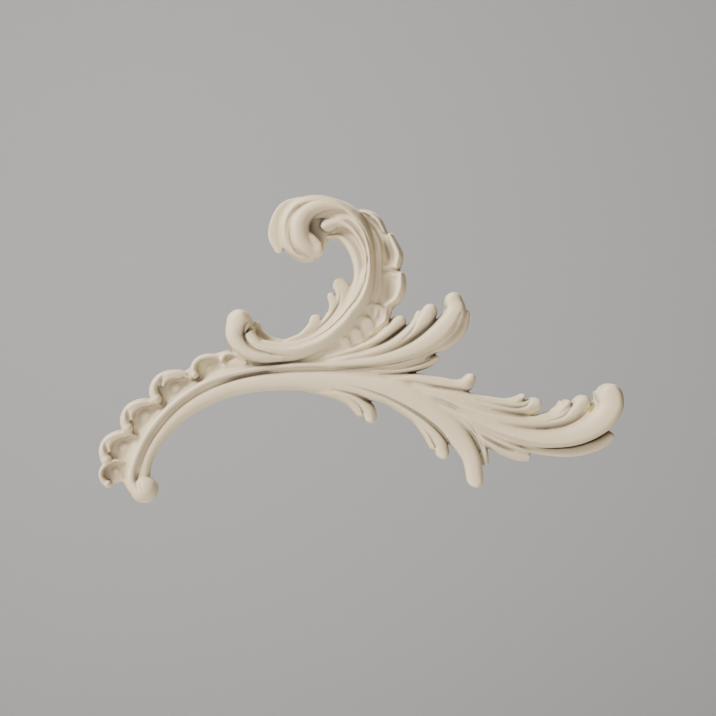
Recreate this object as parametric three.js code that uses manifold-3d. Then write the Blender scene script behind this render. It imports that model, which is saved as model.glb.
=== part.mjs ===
// Scroll onlay: one acanthus scroll, cast in one piece with a flat back, made to be glued to a wall,
// a door or a piece of furniture. Millimetres, X to the right and Z up. The back lies in the plane Y = 0
// and the relief stands out towards -Y. The origin is on the back, behind the middle of the trunk.
import * as THREE from "three";
import { mergeVertices } from "three/addons/utils/BufferGeometryUtils.js";
import Module from "manifold-3d";

const onlayWidth = 263; // tip to tip
const reliefDepth = 15.5; // back to the highest crest, on the volute
const tailThickness = 3; // thin tails that show behind the curls
const bladeThickness = 4.6; // flat leaf inside the scroll
const bowlThickness = 3.6; // floor of the shell bowls
const ballDiameter = 14; // ball that ends the arch
const ballHeight = 9.6;
const eyeHeight = 5.4; // small bump in each shell bowl
const wallDraft = 0.25; // how much a side wall leans in from its foot to its top
const narrowTop = 1.9; // half width below which a lobe's crest is a narrow flat instead of a ridge
const broadTop = 4.6; // half width above which a lobe's section gets two more faces
const wideTip = 4.2; // half width above which a lobe's tip is rounded in three cuts instead of two
const sprueDepth = 1; // how far the pieces reach behind the back before it is cut flat

const straightPitch = 32; // spacing of the sections along a lobe where it runs straight
const bendPitch = 27; // degrees that a lobe turns from one section to the next
const bendSamples = 120; // places along a line at which its bend is measured
const tipTurn = 80; // degrees of the quarter circle that rounds a tip, which ends in a small flat

// Rows are places on a lobe's line: across, up and half width in hundredths of the onlay's width,
// then the crest's height in hundredths of the relief depth, unless the lobe has one height in mm.
// lean puts the crest left (-) or right (+) of the line, seen along it. fullness is 2 for an elliptic
// section and more for a flatter one. edge is the side wall's share of the crest's height.

const arch = {
  rail: {
    spine: [
      [-1.71, 3.12, 0.57, 48], [-6.84, 3, 0.76, 58], [-13.5, 2.76, 0.84, 58], [-19.2, 2.28, 0.86, 57],
      [-24.9, 1.14, 0.89, 55], [-29.66, -0.57, 0.93, 55], [-33.84, -3.14, 0.95, 54],
      [-37.64, -6.56, 0.95, 54], [-40.68, -10.46, 0.95, 53], [-42.59, -14.45, 0.97, 52],
      [-43.54, -17.49, 1.1, 52], [-43.57, -19.68, 1.37, 53], [-42.68, -20.91, 1.52, 57],
    ],
  },
  band: {
    spine: [
      [-41.41, -19.01, 0.99, 39], [-40.84, -15.59, 1.03, 41], [-39.45, -12.55, 1.06, 43],
      [-37.07, -9.22, 1.22, 44], [-33.84, -6.08, 1.41, 45], [-29.66, -3.42, 1.6, 46],
      [-24.9, -1.52, 1.67, 48], [-19.2, -0.38, 1.83, 51], [-12.55, 0, 2.02, 54],
      [-5.89, -0.38, 2.38, 57], [0.76, -1.14, 2.57, 61], [7.41, -2.66, 2.76, 63],
      [13.12, -5.7, 2.76, 63], [17.4, -9.32, 2.47, 62], [20.95, -14.45, 1.84, 58],
      [21.83, -18.88, 1.63, 50],
    ],
    lean: -0.2,
    fullness: 2.2,
    edge: 0.62,
  },
};

const fan = {
  firstLobe: {
    spine: [
      [-10.46, 3.42, 0.29, 35], [-6.27, 4.37, 0.61, 54], [-2.09, 5.42, 0.91, 59],
      [2.09, 6.94, 1.06, 59], [5.13, 9.03, 1.25, 58], [7.15, 10.95, 1.52, 55],
    ],
    lean: -0.2,
    fullness: 2.2,
  },
  secondLobe: {
    spine: [
      [-9.32, 3.23, 0.34, 39], [-4.94, 3.8, 0.68, 57], [0.76, 4.75, 1.03, 62], [5.89, 6.65, 1.33, 63],
      [9.7, 9.22, 1.6, 63], [12.36, 11.6, 1.79, 62], [13.12, 13.02, 1.58, 58],
    ],
    lean: -0.15,
    fullness: 2.4,
  },
  secondLobeSide: {
    spine: [
      [3.61, 6.08, 0.46, 39], [5.51, 7.22, 0.68, 53], [7.91, 8.59, 0.84, 57], [10.3, 10.95, 0.87, 54],
      [11.03, 12.45, 0.87, 52],
    ],
  },
  longLobe: {
    spine: [
      [-12.36, 2.76, 0.48, 42], [-7.79, 2.93, 0.8, 58], [-2.09, 3.23, 0.95, 61], [4.56, 4.09, 1.43, 65],
      [10.65, 6.18, 1.9, 67], [15.68, 9.7, 2.24, 70], [18.06, 13.12, 2.05, 68],
      [17.74, 15.02, 1.79, 61],
    ],
    lean: 0.05,
    fullness: 2.6,
  },
  tail: {
    spine: [
      [12.17, 5.13, 0.76], [16.16, 7.03, 1.14], [19.2, 9.89, 1.18], [20.11, 12.62, 0.84],
    ],
    fullness: 4,
    edge: 0.85,
    height: tailThickness,
  },
  underLobe: {
    spine: [
      [-1.71, 1.71, 0.3, 32], [2.09, 1.75, 0.57, 48], [6.46, 1.94, 0.87, 50], [10.27, 2.51, 1.03, 48],
      [13.12, 3.5, 0.99, 42], [14.18, 4.07, 0.8, 39],
    ],
  },
};

const spray = {
  hangingLobe: {
    spine: [
      [-9.32, -1.52, 0.48, 35], [-6.27, -2.09, 0.65, 50], [-3.04, -2.95, 1.03, 54],
      [-0.38, -4.18, 1.33, 52], [1.44, -5.7, 1.44, 48], [1.81, -6.9, 1.33, 44],
    ],
  },
  hangingLobeSide: {
    spine: [
      [-10.08, -2, 0.38, 29], [-7.41, -2.4, 0.53, 46], [-4.37, -3.19, 0.68, 47], [-1.9, -4.49, 0.8, 44],
      [-0.27, -6.2, 0.84, 39],
    ],
  },
  droppedLobe: {
    spine: [
      [-2.09, -1.52, 0.48, 35], [1.14, -2.51, 0.65, 52], [4.56, -3.61, 0.95, 55],
      [8.65, -5.61, 1.22, 55], [12.45, -8.52, 1.41, 53], [14.83, -11.41, 1.6, 49],
      [15.59, -13.75, 1.37, 43],
    ],
    lean: -0.1,
    fullness: 2.2,
  },
  droppedLobeSide: {
    spine: [
      [4.75, -4.18, 0.42, 29], [7.41, -5.7, 0.57, 46], [10.27, -7.53, 0.72, 47],
      [12.64, -10.27, 0.91, 45], [13.88, -12.28, 1.03, 39],
    ],
  },
  crook: {
    spine: [
      [0.19, 0, 0.29, 35], [3.23, 0.08, 0.57, 50], [6.65, 0.19, 0.76, 55], [10.27, 0.27, 1.1, 56],
      [15.02, -0.55, 1.22, 57], [18.06, -1.14, 1.29, 57], [19.96, -0.91, 1.44, 58],
      [20.76, 0.08, 1.25, 53],
    ],
    lean: -0.2,
    fullness: 2.3,
  },
  upperLobe: {
    spine: [
      [5.13, -0.76, 0.29, 39], [8.56, -1.25, 0.57, 53], [12.17, -1.81, 0.84, 58],
      [16.92, -2.85, 1.33, 61], [22.62, -4.28, 1.56, 59], [27.38, -5.13, 1.63, 58],
      [31.18, -5.51, 1.71, 55], [32.97, -4.79, 1.52, 52],
    ],
    lean: -0.3,
    fullness: 2.4,
  },
  upperLobeSide: {
    spine: [
      [14.26, -2.21, 0.23, 39], [16.92, -2.66, 0.42, 53], [19.58, -3.12, 0.61, 55],
      [24.52, -4.11, 0.8, 55], [28.33, -4.22, 0.84, 54], [30.04, -3.73, 0.84, 52],
      [30.7, -3.23, 0.68, 48],
    ],
  },
  middleLobe: {
    spine: [
      [6.65, -1.33, 0.29, 39], [11.22, -2.36, 0.57, 57], [15.59, -3.4, 0.84, 60],
      [20.72, -5.32, 1.33, 62], [26.43, -7.22, 1.52, 62], [32.13, -8.23, 1.56, 61],
      [36.88, -7.79, 1.56, 61], [40.49, -6.46, 1.83, 61], [42.13, -4.41, 1.6, 58],
    ],
    lean: -0.2,
    fullness: 2.4,
  },
  middleLobeSide: {
    spine: [
      [21.48, -5.89, 0.23, 42], [24.14, -6.46, 0.46, 54], [27, -7.09, 0.61, 56],
      [32.13, -7.89, 0.8, 57], [35.93, -7.26, 0.95, 55], [38.17, -5.67, 0.95, 54],
      [39.16, -4.6, 0.93, 52],
    ],
  },
  endCurl: {
    spine: [
      [8.94, -2.28, 0.29, 39], [13.88, -4.11, 0.57, 58], [18.25, -6.08, 0.84, 62],
      [22.62, -7.98, 1.52, 63], [27.38, -9.79, 1.71, 66], [32.13, -10.84, 1.86, 70],
      [36.88, -11.03, 1.96, 73], [41.63, -9.98, 2.28, 77], [45.7, -7.51, 2.47, 83],
      [47.4, -4.75, 2.55, 85], [47.3, -3.23, 2.6, 83],
    ],
    lean: 0.35,
    fullness: 2.6,
  },
  tail: {
    spine: [
      [29.28, -12.55, 0.95], [34.98, -13.21, 1.22], [40.68, -13.23, 1.5], [45.06, -12.02, 1.52],
      [47.03, -10.87, 1.29],
    ],
    fullness: 4,
    edge: 0.85,
    height: tailThickness,
  },
  lowerLobe: {
    spine: [
      [13.12, -3.99, 0.23, 39], [16.54, -5.7, 0.46, 55], [19.58, -7.91, 0.65, 57],
      [22.24, -10.27, 0.95, 55], [24.9, -12.17, 1.08, 52], [27.95, -13.73, 1.1, 45],
      [30.42, -14.45, 1.14, 40], [31.37, -14.6, 1.03, 37],
    ],
  },
  lowerLobeFold: {
    spine: [
      [15.02, -4.56, 0.23, 39], [18.06, -6.39, 0.46, 54], [21.1, -8.59, 0.61, 54],
      [24.52, -10.65, 0.76, 52], [28.33, -12.36, 0.87, 48], [31.75, -13.38, 0.68, 40],
    ],
  },
  spur: {
    spine: [
      [16.16, -4.56, 0.19, 39], [18.82, -6.2, 0.38, 54], [20.91, -8.75, 0.53, 54],
      [22.24, -11.03, 0.65, 52], [23.37, -13.31, 0.87, 45], [23.76, -15.51, 0.8, 35],
    ],
  },
};

const scroll = {
  bulb: {
    spine: [
      [-23.19, 11.03, 2.51, 81], [-23.8, 8.56, 1.98, 79], [-21.86, 5.7, 1.71, 77],
      [-18.82, 4.45, 1.41, 75], [-15.4, 4.18, 0.95, 65],
    ],
    fullness: 2.2,
    roundTail: true,
  },
  mainRidge: {
    spine: [
      [-21.1, 6.84, 1.33, 72], [-18.06, 5.51, 1.67, 74], [-11.41, 5.21, 1.79, 74],
      [-7.03, 6.92, 1.71, 76], [-3.16, 9.92, 1.71, 77], [0.61, 15.02, 1.41, 81],
      [1.98, 19.96, 1.05, 83], [1.79, 25.67, 1.06, 84], [0.84, 28.52, 1.18, 85],
      [-0.72, 30.91, 1.25, 86], [-2.55, 32.59, 1.18, 87], [-4.75, 33.5, 1.1, 89],
      [-9.7, 32.89, 0.95, 90],
    ],
    lean: -0.62,
    fullness: 1.6,
    edge: 0.48,
  },
  outerStrand: {
    spine: [
      [-2.09, 32.51, 0.65, 75], [-4.75, 33.65, 0.99, 83], [-8.75, 34.11, 1.22, 86],
      [-11.98, 33.31, 1.18, 84], [-13.97, 30.89, 1.14, 81], [-14.35, 27.57, 1.06, 77],
      [-13.5, 25.1, 0.99, 71], [-11.79, 23.57, 0.8, 65], [-10.27, 23.08, 0.57, 59],
      [-9.13, 23.04, 0.3, 54],
    ],
  },
  innerBead: {
    spine: [
      [-6.08, 29.54, 1.71, 79], [-4.56, 30, 1.41, 80], [-2.97, 29.54, 1.03, 81],
      [-1.52, 28.48, 0.82, 83], [-0.19, 26.62, 0.67, 83], [0.65, 24.33, 0.57, 83],
      [1.03, 21.48, 0.46, 83], [0.57, 18.44, 0.38, 81],
    ],
    roundTail: true,
  },
  innerFace: {
    spine: [
      [-6.46, 27.26, 0.49, 53], [-4.37, 27.49, 0.76, 58], [-2.47, 26.31, 1.06, 62],
      [-1.06, 24.33, 1.22, 66], [-0.27, 21.48, 1.18, 68], [-0.46, 18.63, 1.14, 68],
      [-1.44, 15.97, 1.03, 66], [-2.93, 13.5, 0.84, 61], [-4.94, 11.22, 0.65, 54],
    ],
    lean: 0.28,
    edge: 0.6,
  },
  broadStrand: {
    spine: [
      [-1.71, 31.94, 0.57, 81], [-4.37, 32.85, 1.03, 88], [-7.41, 33, 1.41, 92],
      [-9.89, 32.02, 1.71, 95], [-11.41, 30.04, 1.94, 100], [-11.6, 28.33, 1.98, 100],
    ],
    lean: 0.3,
    fullness: 2.4,
  },
  nose: {
    spine: [
      [-11.6, 29.28, 1.9, 97], [-11.33, 27.38, 1.94, 95], [-10.8, 25.97, 1.9, 93],
      [-9.89, 25.02, 1.75, 89], [-8.82, 24.75, 1.63, 84],
    ],
    fullness: 2.3,
  },
  tail: {
    spine: [
      [-11.03, 34.45, 0.84], [-14.22, 33, 1.37], [-15.72, 30.32, 1.65], [-16.08, 27.38, 1.67],
      [-15.7, 25.19, 0.99],
    ],
    fullness: 4,
    edge: 0.85,
    height: tailThickness,
  },
};

const blade = {
  tall: {
    spine: [
      [-14.45, 7.22, 0.57], [-7.41, 9.32, 1.71], [-4.37, 12.74, 1.9], [-3.04, 15.78, 1.75],
      [-3.42, 17.38, 1.71], [-3.88, 18.06, 1.52],
    ],
    fullness: 3,
    edge: 0.7,
    height: bladeThickness,
  },
  small: {
    spine: [
      [-8.17, 9.51, 0.95], [-5.42, 12.36, 1.14], [-5.13, 14.64, 0.99], [-5.63, 15.91, 0.84],
    ],
    fullness: 3,
    edge: 0.7,
    height: bladeThickness,
  },
  low: {
    spine: [
      [-13.88, 7.13, 0.48], [-10.84, 8.46, 1.06], [-8.97, 10.36, 1.22], [-8.67, 11.33, 1.24],
    ],
    fullness: 3,
    edge: 0.7,
    height: bladeThickness,
  },
};

const petals = {
  first: {
    spine: [
      [-1.71, 31.84, 0.95, 35], [1.33, 30.61, 1.81, 43], [3.04, 28.33, 1.71, 43],
      [3.61, 26.62, 1.33, 39],
    ],
    fullness: 3,
    edge: 0.7,
  },
  second: {
    spine: [
      [3.04, 28.52, 1.33, 39], [4.66, 26.05, 2.09, 43], [5.38, 23.76, 2.4, 43], [5.44, 22.62, 2.36, 41],
    ],
    fullness: 3,
    edge: 0.7,
  },
  third: {
    spine: [
      [5.97, 19.01, 2.62, 43], [5.78, 17.11, 2.59, 43], [4.75, 15.11, 2.09, 40],
    ],
    fullness: 3.5,
    edge: 0.7,
    roundTail: true,
  },
  fourth: {
    spine: [
      [4.75, 15.21, 1.71, 39], [3.61, 12.36, 2.02, 40], [2.09, 10.65, 1.81, 39],
    ],
    fullness: 3,
    edge: 0.7,
  },
  firstFold: {
    spine: [
      [0, 32.21, 0.53, 45], [1.71, 31.63, 0.72, 54], [3.23, 30.38, 0.8, 57], [4.22, 28.78, 0.72, 53],
    ],
  },
  secondFold: {
    spine: [
      [5.63, 27.19, 0.8, 54], [6.43, 25.67, 0.91, 59], [7.15, 23.84, 0.95, 62], [6.96, 22.24, 0.99, 57],
    ],
    roundTail: true,
  },
  thirdFold: {
    spine: [
      [7.64, 19.58, 0.95, 57], [7.57, 17.49, 1.06, 61], [6.81, 15.59, 1.03, 58], [5.42, 14.6, 0.87, 53],
    ],
    roundTail: true,
  },
  fourthFold: {
    spine: [
      [4.83, 12.83, 0.87, 54], [4.6, 11.41, 0.91, 57], [3.35, 10.19, 0.84, 53],
    ],
    roundTail: true,
  },
  frill: {
    spine: [
      [3.23, 13.12, 2, 45], [1.71, 10.65, 1.9, 49], [-0.57, 8.48, 1.63, 51], [-3.42, 6.58, 1.22, 52],
      [-6.46, 5.32, 0.76, 54],
    ],
    lean: -0.3,
    fullness: 2.6,
    edge: 0.7,
  },
};

const ground = {
  underShells: {
    spine: [
      [-44.49, -19.01, 1.14, 19], [-44.11, -14.26, 1.71, 36], [-40.87, -9.51, 2.09, 40],
      [-35.74, -4.75, 2.28, 41], [-29.09, -0.19, 1.9, 43], [-23.76, 2.38, 1.9, 44],
      [-18.82, 3.04, 1.14, 43],
    ],
    lean: 0.7,
    fullness: 1.4,
    edge: 0.4,
  },
  shellGround: {
    spine: [
      [-48.78, -17.03, 0.95, 22], [-46.39, -16.35, 1.41, 22], [-44.87, -14.26, 2.4, 25],
      [-41.44, -8.75, 2.66, 26], [-35.93, -3.42, 2.66, 26], [-30.04, 1.03, 2.66, 28],
      [-26.62, 2.97, 2.43, 32], [-23, 3.92, 1.98, 32],
    ],
    fullness: 4,
    edge: 0.9,
  },
  underPetals: {
    spine: [
      [-23, 3.04, 1.14, 39], [-11.6, 3.61, 1.33, 45], [-5.89, 5.13, 1.71, 45], [-2.09, 6.65, 2.47, 41],
      [2.47, 11.41, 2.85, 40], [4.18, 17.11, 2.28, 30], [3.61, 24.71, 1.71, 30],
      [1.33, 29.66, 1.33, 30],
    ],
    fullness: 4,
    edge: 0.9,
  },
  underFan: {
    spine: [
      [-11.6, 2.09, 1.14, 39], [-1.14, 2.47, 1.71, 39], [7.03, 3.61, 2.85, 39], [13.12, 8.37, 2.28, 39],
    ],
    fullness: 4,
    edge: 0.9,
  },
  curlHollow: {
    spine: [
      [-9.32, 31.56, 1.71, 32], [-8.17, 29.28, 2.09, 32], [-8.08, 27.19, 1.9, 32],
    ],
    fullness: 4,
    edge: 0.9,
  },
  innerHollow: {
    spine: [
      [-7.41, 28.52, 1.14, 32], [-5.13, 28.61, 1.14, 39], [-2.85, 27.85, 0.95, 43],
      [-1.33, 26.05, 0.84, 48], [-0.19, 23.57, 0.76, 54], [0.38, 20.91, 0.57, 58],
    ],
    fullness: 4,
    edge: 0.9,
  },
  underRail: {
    spine: [
      [-42.59, -18.63, 0.76, 26], [-41.44, -14.83, 0.95, 29], [-39.16, -10.84, 0.95, 29],
      [-35.36, -6.08, 0.95, 29], [-29.66, -2.09, 0.95, 29], [-21.1, 0.95, 0.95, 29],
      [-11.6, 2.09, 0.95, 29],
    ],
    fullness: 4,
    edge: 0.9,
  },
  ridgeGround: {
    spine: [
      [-18.82, 6.84, 0.95, 62], [-14.45, 6.35, 0.95, 65], [-11.03, 6.77, 0.95, 66],
      [-7.41, 8.37, 0.95, 66], [-3.99, 11.1, 0.95, 66], [-2.02, 13.5, 0.95, 67],
      [-0.65, 15.59, 0.95, 68], [0.19, 17.68, 0.87, 70], [0.72, 20.34, 0.76, 71],
    ],
    fullness: 4,
    edge: 0.9,
  },
  voluteGround: {
    spine: [
      [-11.03, 32.51, 1.52, 76], [-12.74, 30.42, 1.52, 76], [-13.19, 27.76, 1.44, 75],
      [-12.55, 25.48, 1.33, 70], [-10.84, 24.22, 1.14, 65],
    ],
    fullness: 4,
    edge: 0.9,
  },
  underScroll: {
    spine: [
      [0.95, 26.24, 0.86, 55], [-0.19, 28.14, 1.24, 52], [-1.71, 29.66, 1.71, 45],
      [-3.99, 30.8, 1.52, 45], [-7.41, 31.75, 1.14, 42],
    ],
    fullness: 4,
    edge: 0.9,
  },
  underSpray: {
    spine: [
      [7.41, -0.19, 0.95, 32], [13.12, -2.09, 1.33, 32], [17.68, -4.75, 1.52, 32],
      [21.1, -9.7, 1.33, 32], [22.43, -12.74, 0.95, 32],
    ],
    fullness: 4,
    edge: 0.9,
  },
  bulbHollow: {
    spine: [
      [-21.86, 11.03, 1.52, 45], [-21.1, 7.98, 1.52, 45], [-17.68, 5.89, 1.33, 45],
    ],
    fullness: 4,
    edge: 0.9,
  },
};

// Swellings of the frill that runs down between the scroll and the fan: across, up, radius, height.
const lumps = [
  [2.4, 13.57, 1.6, 54], [0.95, 11.33, 1.56, 57], [-0.84, 9.13, 1.52, 58], [-2.97, 7.34, 1.33, 58],
];

// Shells along the arch, lowest first: across, up, outer radius, the degrees at which the rim starts and
// ends, counted from the right, the degrees that its inner curl turns, 0 for none, and the eye's side.
const shells = [
  [-47.05, -17.97, 3.04, 45, 240, 0, 60],
  [-45.82, -13.69, 4.3, 36, 212, 132, 50],
  [-41.63, -7.79, 4.45, 35, 207, 127, 62],
  [-36.12, -2.28, 4.45, 30, 206, 104, 44],
  [-29.28, 1.71, 3.5, 34, 196, 0, 50],
  [-24.71, 3.99, 1.98, 40, 190, 0, 50],
];

// One shell's rolled rim and its inner curl: share of the turn, reach and half width as shares of the
// shell's radius, crest in hundredths of the relief depth.
const shellRim = [
  [0, 1.04, 0.12, 36], [0.25, 0.85, 0.165, 49], [0.54, 0.79, 0.19, 56], [0.8, 0.74, 0.24, 56],
  [0.97, 0.69, 0.285, 55],
];
const shellCurl = [[0.22, 0.8, 0.1, 44], [0.55, 0.67, 0.15, 52], [0.95, 0.49, 0.14, 51]];
const shellBowl = 0.62; // radius of the bowl's floor, as a share of the shell's
const shellEye = { reach: 0.24, radius: 0.28 };

// How domes are shaped: side wall's share of the height, sides round the dome, steps up to its top.
const bowlForm = { edge: 0.9, steps: 1 };
const eyeForm = { edge: 0.6 };
const lumpForm = { edge: 0.8 };
const ballForm = { sides: 18, steps: 4 };

const ballPlace = [-41.46, -20.9]; // across and up

const wide = onlayWidth / 100;
const deep = reliefDepth / 100;

const wasm = await Module();
wasm.setup();

// A closed mesh as a solid that can be joined to others.
function solidOf(geometry) {
  const bare = geometry.index ? geometry.toNonIndexed() : geometry.clone();
  bare.deleteAttribute("normal");
  bare.deleteAttribute("uv");
  const merged = mergeVertices(bare, 1e-4);
  return new wasm.Manifold(
    new wasm.Mesh({
      numProp: 3,
      vertProperties: new Float32Array(merged.attributes.position.array),
      triVerts: new Uint32Array(merged.index.array),
    }),
  );
}

// Shares of a line's length at which its sections stand, closer together where it bends.
function sharesAlong(path) {
  const due = [0];
  for (let i = 1; i <= bendSamples; i++) {
    const bend = path.getTangentAt((i - 1) / bendSamples).angleTo(path.getTangentAt(i / bendSamples));
    const straight = path.getLength() / bendSamples / straightPitch;
    due.push(due[i - 1] + straight + THREE.MathUtils.radToDeg(bend) / bendPitch);
  }
  const steps = Math.max(3, Math.round(due[bendSamples]));
  const shares = [0];
  for (let k = 1; k < steps; k++) {
    const aim = (due[bendSamples] * k) / steps;
    const next = due.findIndex((value) => value >= aim);
    shares.push((next - (due[next] - aim) / (due[next] - due[next - 1])) / bendSamples);
  }
  return [...shares, 1];
}

// Stations along a lobe's line, with a rounded tip beyond its last point.
function stationsOf({ spine, height, roundTail = false }) {
  const points = spine.map(([across, up]) => new THREE.Vector3(across * wide, 0, up * wide));
  const path = new THREE.CatmullRomCurve3(points, false, "centripetal");
  const between = (t, column) => {
    const i = Math.min(Math.floor(t * (spine.length - 1)), spine.length - 2);
    return THREE.MathUtils.lerp(spine[i][column], spine[i + 1][column], t * (spine.length - 1) - i);
  };
  const stations = [];
  const add = (t, overshoot, narrowing) => {
    const heading = path.getTangent(t);
    const half = between(t, 2) * wide;
    stations.push({
      place: path.getPoint(t).addScaledVector(heading, overshoot * half),
      right: new THREE.Vector3(heading.z, 0, -heading.x),
      half: half * narrowing,
      crest: height ?? between(t, 3) * deep,
      narrowing,
    });
  };
  const tipCuts = spine.some((row) => row[2] * wide > wideTip) ? 3 : 2;
  const roundOff = (t, way) => {
    for (let k = 1; k <= tipCuts; k++) {
      const turn = THREE.MathUtils.degToRad((tipTurn * k) / tipCuts);
      add(t, way * Math.sin(turn), Math.cos(turn));
    }
  };
  if (roundTail) {
    roundOff(0, -1);
    stations.reverse();
  }
  for (const share of sharesAlong(path)) add(path.getUtoTmapping(share), 0, 1);
  roundOff(1, 1);
  return stations;
}

// One lobe: a crowned section swept along its line, between side walls that stand on the back.
function lobe(form) {
  const { lean = 0, fullness = 2, edge = 0.5 } = form;
  const widest = Math.max(...form.spine.map((row) => row[2])) * wide;
  const flatTopped = fullness >= 3 || widest < narrowTop;
  const cuts = flatTopped ? 3 : widest < broadTop ? 4 : 6;
  const rings = stationsOf(form).map(({ place, right, half, crest, narrowing }) => {
    const at = (offset, height) => [place.x + right.x * offset, -height, place.z + right.z * offset];
    const reach = half - wallDraft * narrowing;
    const roll = Math.sqrt(1 - (1 - narrowing) ** 2); // the crest falls away round the tip
    const ring = [at(-half, -sprueDepth)];
    for (let k = 0; k <= cuts; k++) {
      const q = -Math.cos((k / cuts) * Math.PI); // -1 at one side, 0 on the crest, 1 at the other
      const offset = lean + q * (q < 0 ? 1 + lean : 1 - lean);
      const rise = (1 - Math.abs(q) ** fullness) ** (1 / fullness);
      ring.push(at(offset * reach, crest * (edge + (1 - edge) * roll * rise)));
    }
    ring.push(at(half, -sprueDepth));
    return ring;
  });
  return skin(rings);
}

// Joins rings of corners into a closed mesh, with a flat fan at each end.
function skin(rings) {
  const n = rings[0].length;
  const faces = [];
  for (let i = 0; i + 1 < rings.length; i++) {
    for (let k = 0; k < n; k++) {
      const a = i * n + k;
      const b = i * n + ((k + 1) % n);
      faces.push(a, b, a + n, b, b + n, a + n);
    }
  }
  const last = (rings.length - 1) * n;
  for (let k = 1; k + 1 < n; k++) faces.push(0, k + 1, k, last, last + k, last + k + 1);
  const geometry = new THREE.BufferGeometry();
  geometry.setAttribute("position", new THREE.Float32BufferAttribute(rings.flat(2), 3));
  geometry.setIndex(faces);
  return geometry;
}

// A dome on a short round drum, standing on the back.
function dome([across, up], radius, height, { edge = 0.5, sides = 10, steps = 2 } = {}) {
  const profile = [new THREE.Vector2(0, -sprueDepth), new THREE.Vector2(radius, -sprueDepth)];
  for (let k = 0; k <= steps; k++) {
    const turn = ((k / steps) * Math.PI) / 2;
    const out = k === steps ? 0 : (radius - wallDraft) * Math.cos(turn);
    profile.push(new THREE.Vector2(out, height * (edge + (1 - edge) * Math.sin(turn))));
  }
  const geometry = new THREE.LatheGeometry(profile, sides);
  geometry.rotateX(Math.PI); // the lathe's axis turns from +Y to the relief's -Y
  geometry.translate(across * wide, 0, up * wide);
  return geometry;
}

// One shell: a rolled rim, an inner curl where it has one, a floor and an eye.
function shell([across, up, radius, start, end, curlTurn, eyeSide]) {
  const at = (degrees, reach, half, crest) => {
    const turn = THREE.MathUtils.degToRad(degrees);
    const out = radius * reach;
    return [across + out * Math.cos(turn), up + out * Math.sin(turn), radius * half, crest];
  };
  const roll = (rows, turned) => {
    return { spine: rows.map(([share, ...rest]) => at(start + turned * share, ...rest)) };
  };
  const rolls = [roll(shellRim, end - start)];
  if (curlTurn > 0) rolls.push(roll(shellCurl, curlTurn));
  const size = radius * wide;
  return [
    ...rolls.map(lobe),
    dome([across, up], size * shellBowl, bowlThickness, bowlForm),
    dome(at(eyeSide, shellEye.reach), size * shellEye.radius, eyeHeight, eyeForm),
  ];
}

const lobes = [arch, fan, spray, scroll, blade, petals, ground].flatMap((group) => Object.values(group));
const pieces = [
  ...lobes.map(lobe),
  ...shells.flatMap(shell),
  ...lumps.map(([x, z, radius, crest]) => dome([x, z], radius * wide, crest * deep, lumpForm)),
  dome(ballPlace, ballDiameter / 2, ballHeight, ballForm),
];
const sprue = new THREE.BoxGeometry(2 * onlayWidth, 2 * sprueDepth, 2 * onlayWidth);
sprue.translate(0, sprueDepth, 0);

const joined = pieces.map(solidOf).reduce((whole, piece) => whole.add(piece));
const { vertProperties, triVerts } = joined.subtract(solidOf(sprue)).getMesh();
const geometry = new THREE.BufferGeometry();
geometry.setAttribute("position", new THREE.BufferAttribute(vertProperties, 3));
geometry.setIndex(new THREE.BufferAttribute(triVerts, 1));
geometry.computeVertexNormals();

const ivoryPrimer = new THREE.MeshStandardMaterial({ color: 0xd9cdbb, roughness: 0.55, metalness: 0 });
const onlay = new THREE.Mesh(geometry, ivoryPrimer);
onlay.name = "scroll_onlay";

const group = new THREE.Group();
group.add(onlay);

export default group;
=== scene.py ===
import math
import bpy
import numpy as np
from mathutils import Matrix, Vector


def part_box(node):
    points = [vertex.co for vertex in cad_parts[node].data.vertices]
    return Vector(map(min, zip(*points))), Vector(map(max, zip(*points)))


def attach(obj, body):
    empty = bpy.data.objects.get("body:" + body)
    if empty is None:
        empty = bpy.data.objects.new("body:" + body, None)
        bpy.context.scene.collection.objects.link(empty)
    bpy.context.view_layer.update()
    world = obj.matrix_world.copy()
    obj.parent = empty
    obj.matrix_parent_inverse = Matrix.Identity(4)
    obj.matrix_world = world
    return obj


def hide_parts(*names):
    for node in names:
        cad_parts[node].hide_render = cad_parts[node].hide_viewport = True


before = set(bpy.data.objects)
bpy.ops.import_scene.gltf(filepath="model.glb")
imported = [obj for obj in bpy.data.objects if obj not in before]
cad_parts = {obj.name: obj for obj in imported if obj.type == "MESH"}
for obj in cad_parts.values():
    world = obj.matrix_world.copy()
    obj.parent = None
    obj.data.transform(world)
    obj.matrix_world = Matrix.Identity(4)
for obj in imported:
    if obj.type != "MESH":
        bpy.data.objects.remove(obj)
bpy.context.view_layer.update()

nodeName = "scroll_onlay"
boxLow, boxHigh = [np.array(corner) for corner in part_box(nodeName)]
wide = (boxHigh[0] - boxLow[0]) / 100  # one hundredth of the onlay's width
deep = (boxHigh[1] - boxLow[1]) / 100  # one hundredth of its depth

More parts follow.
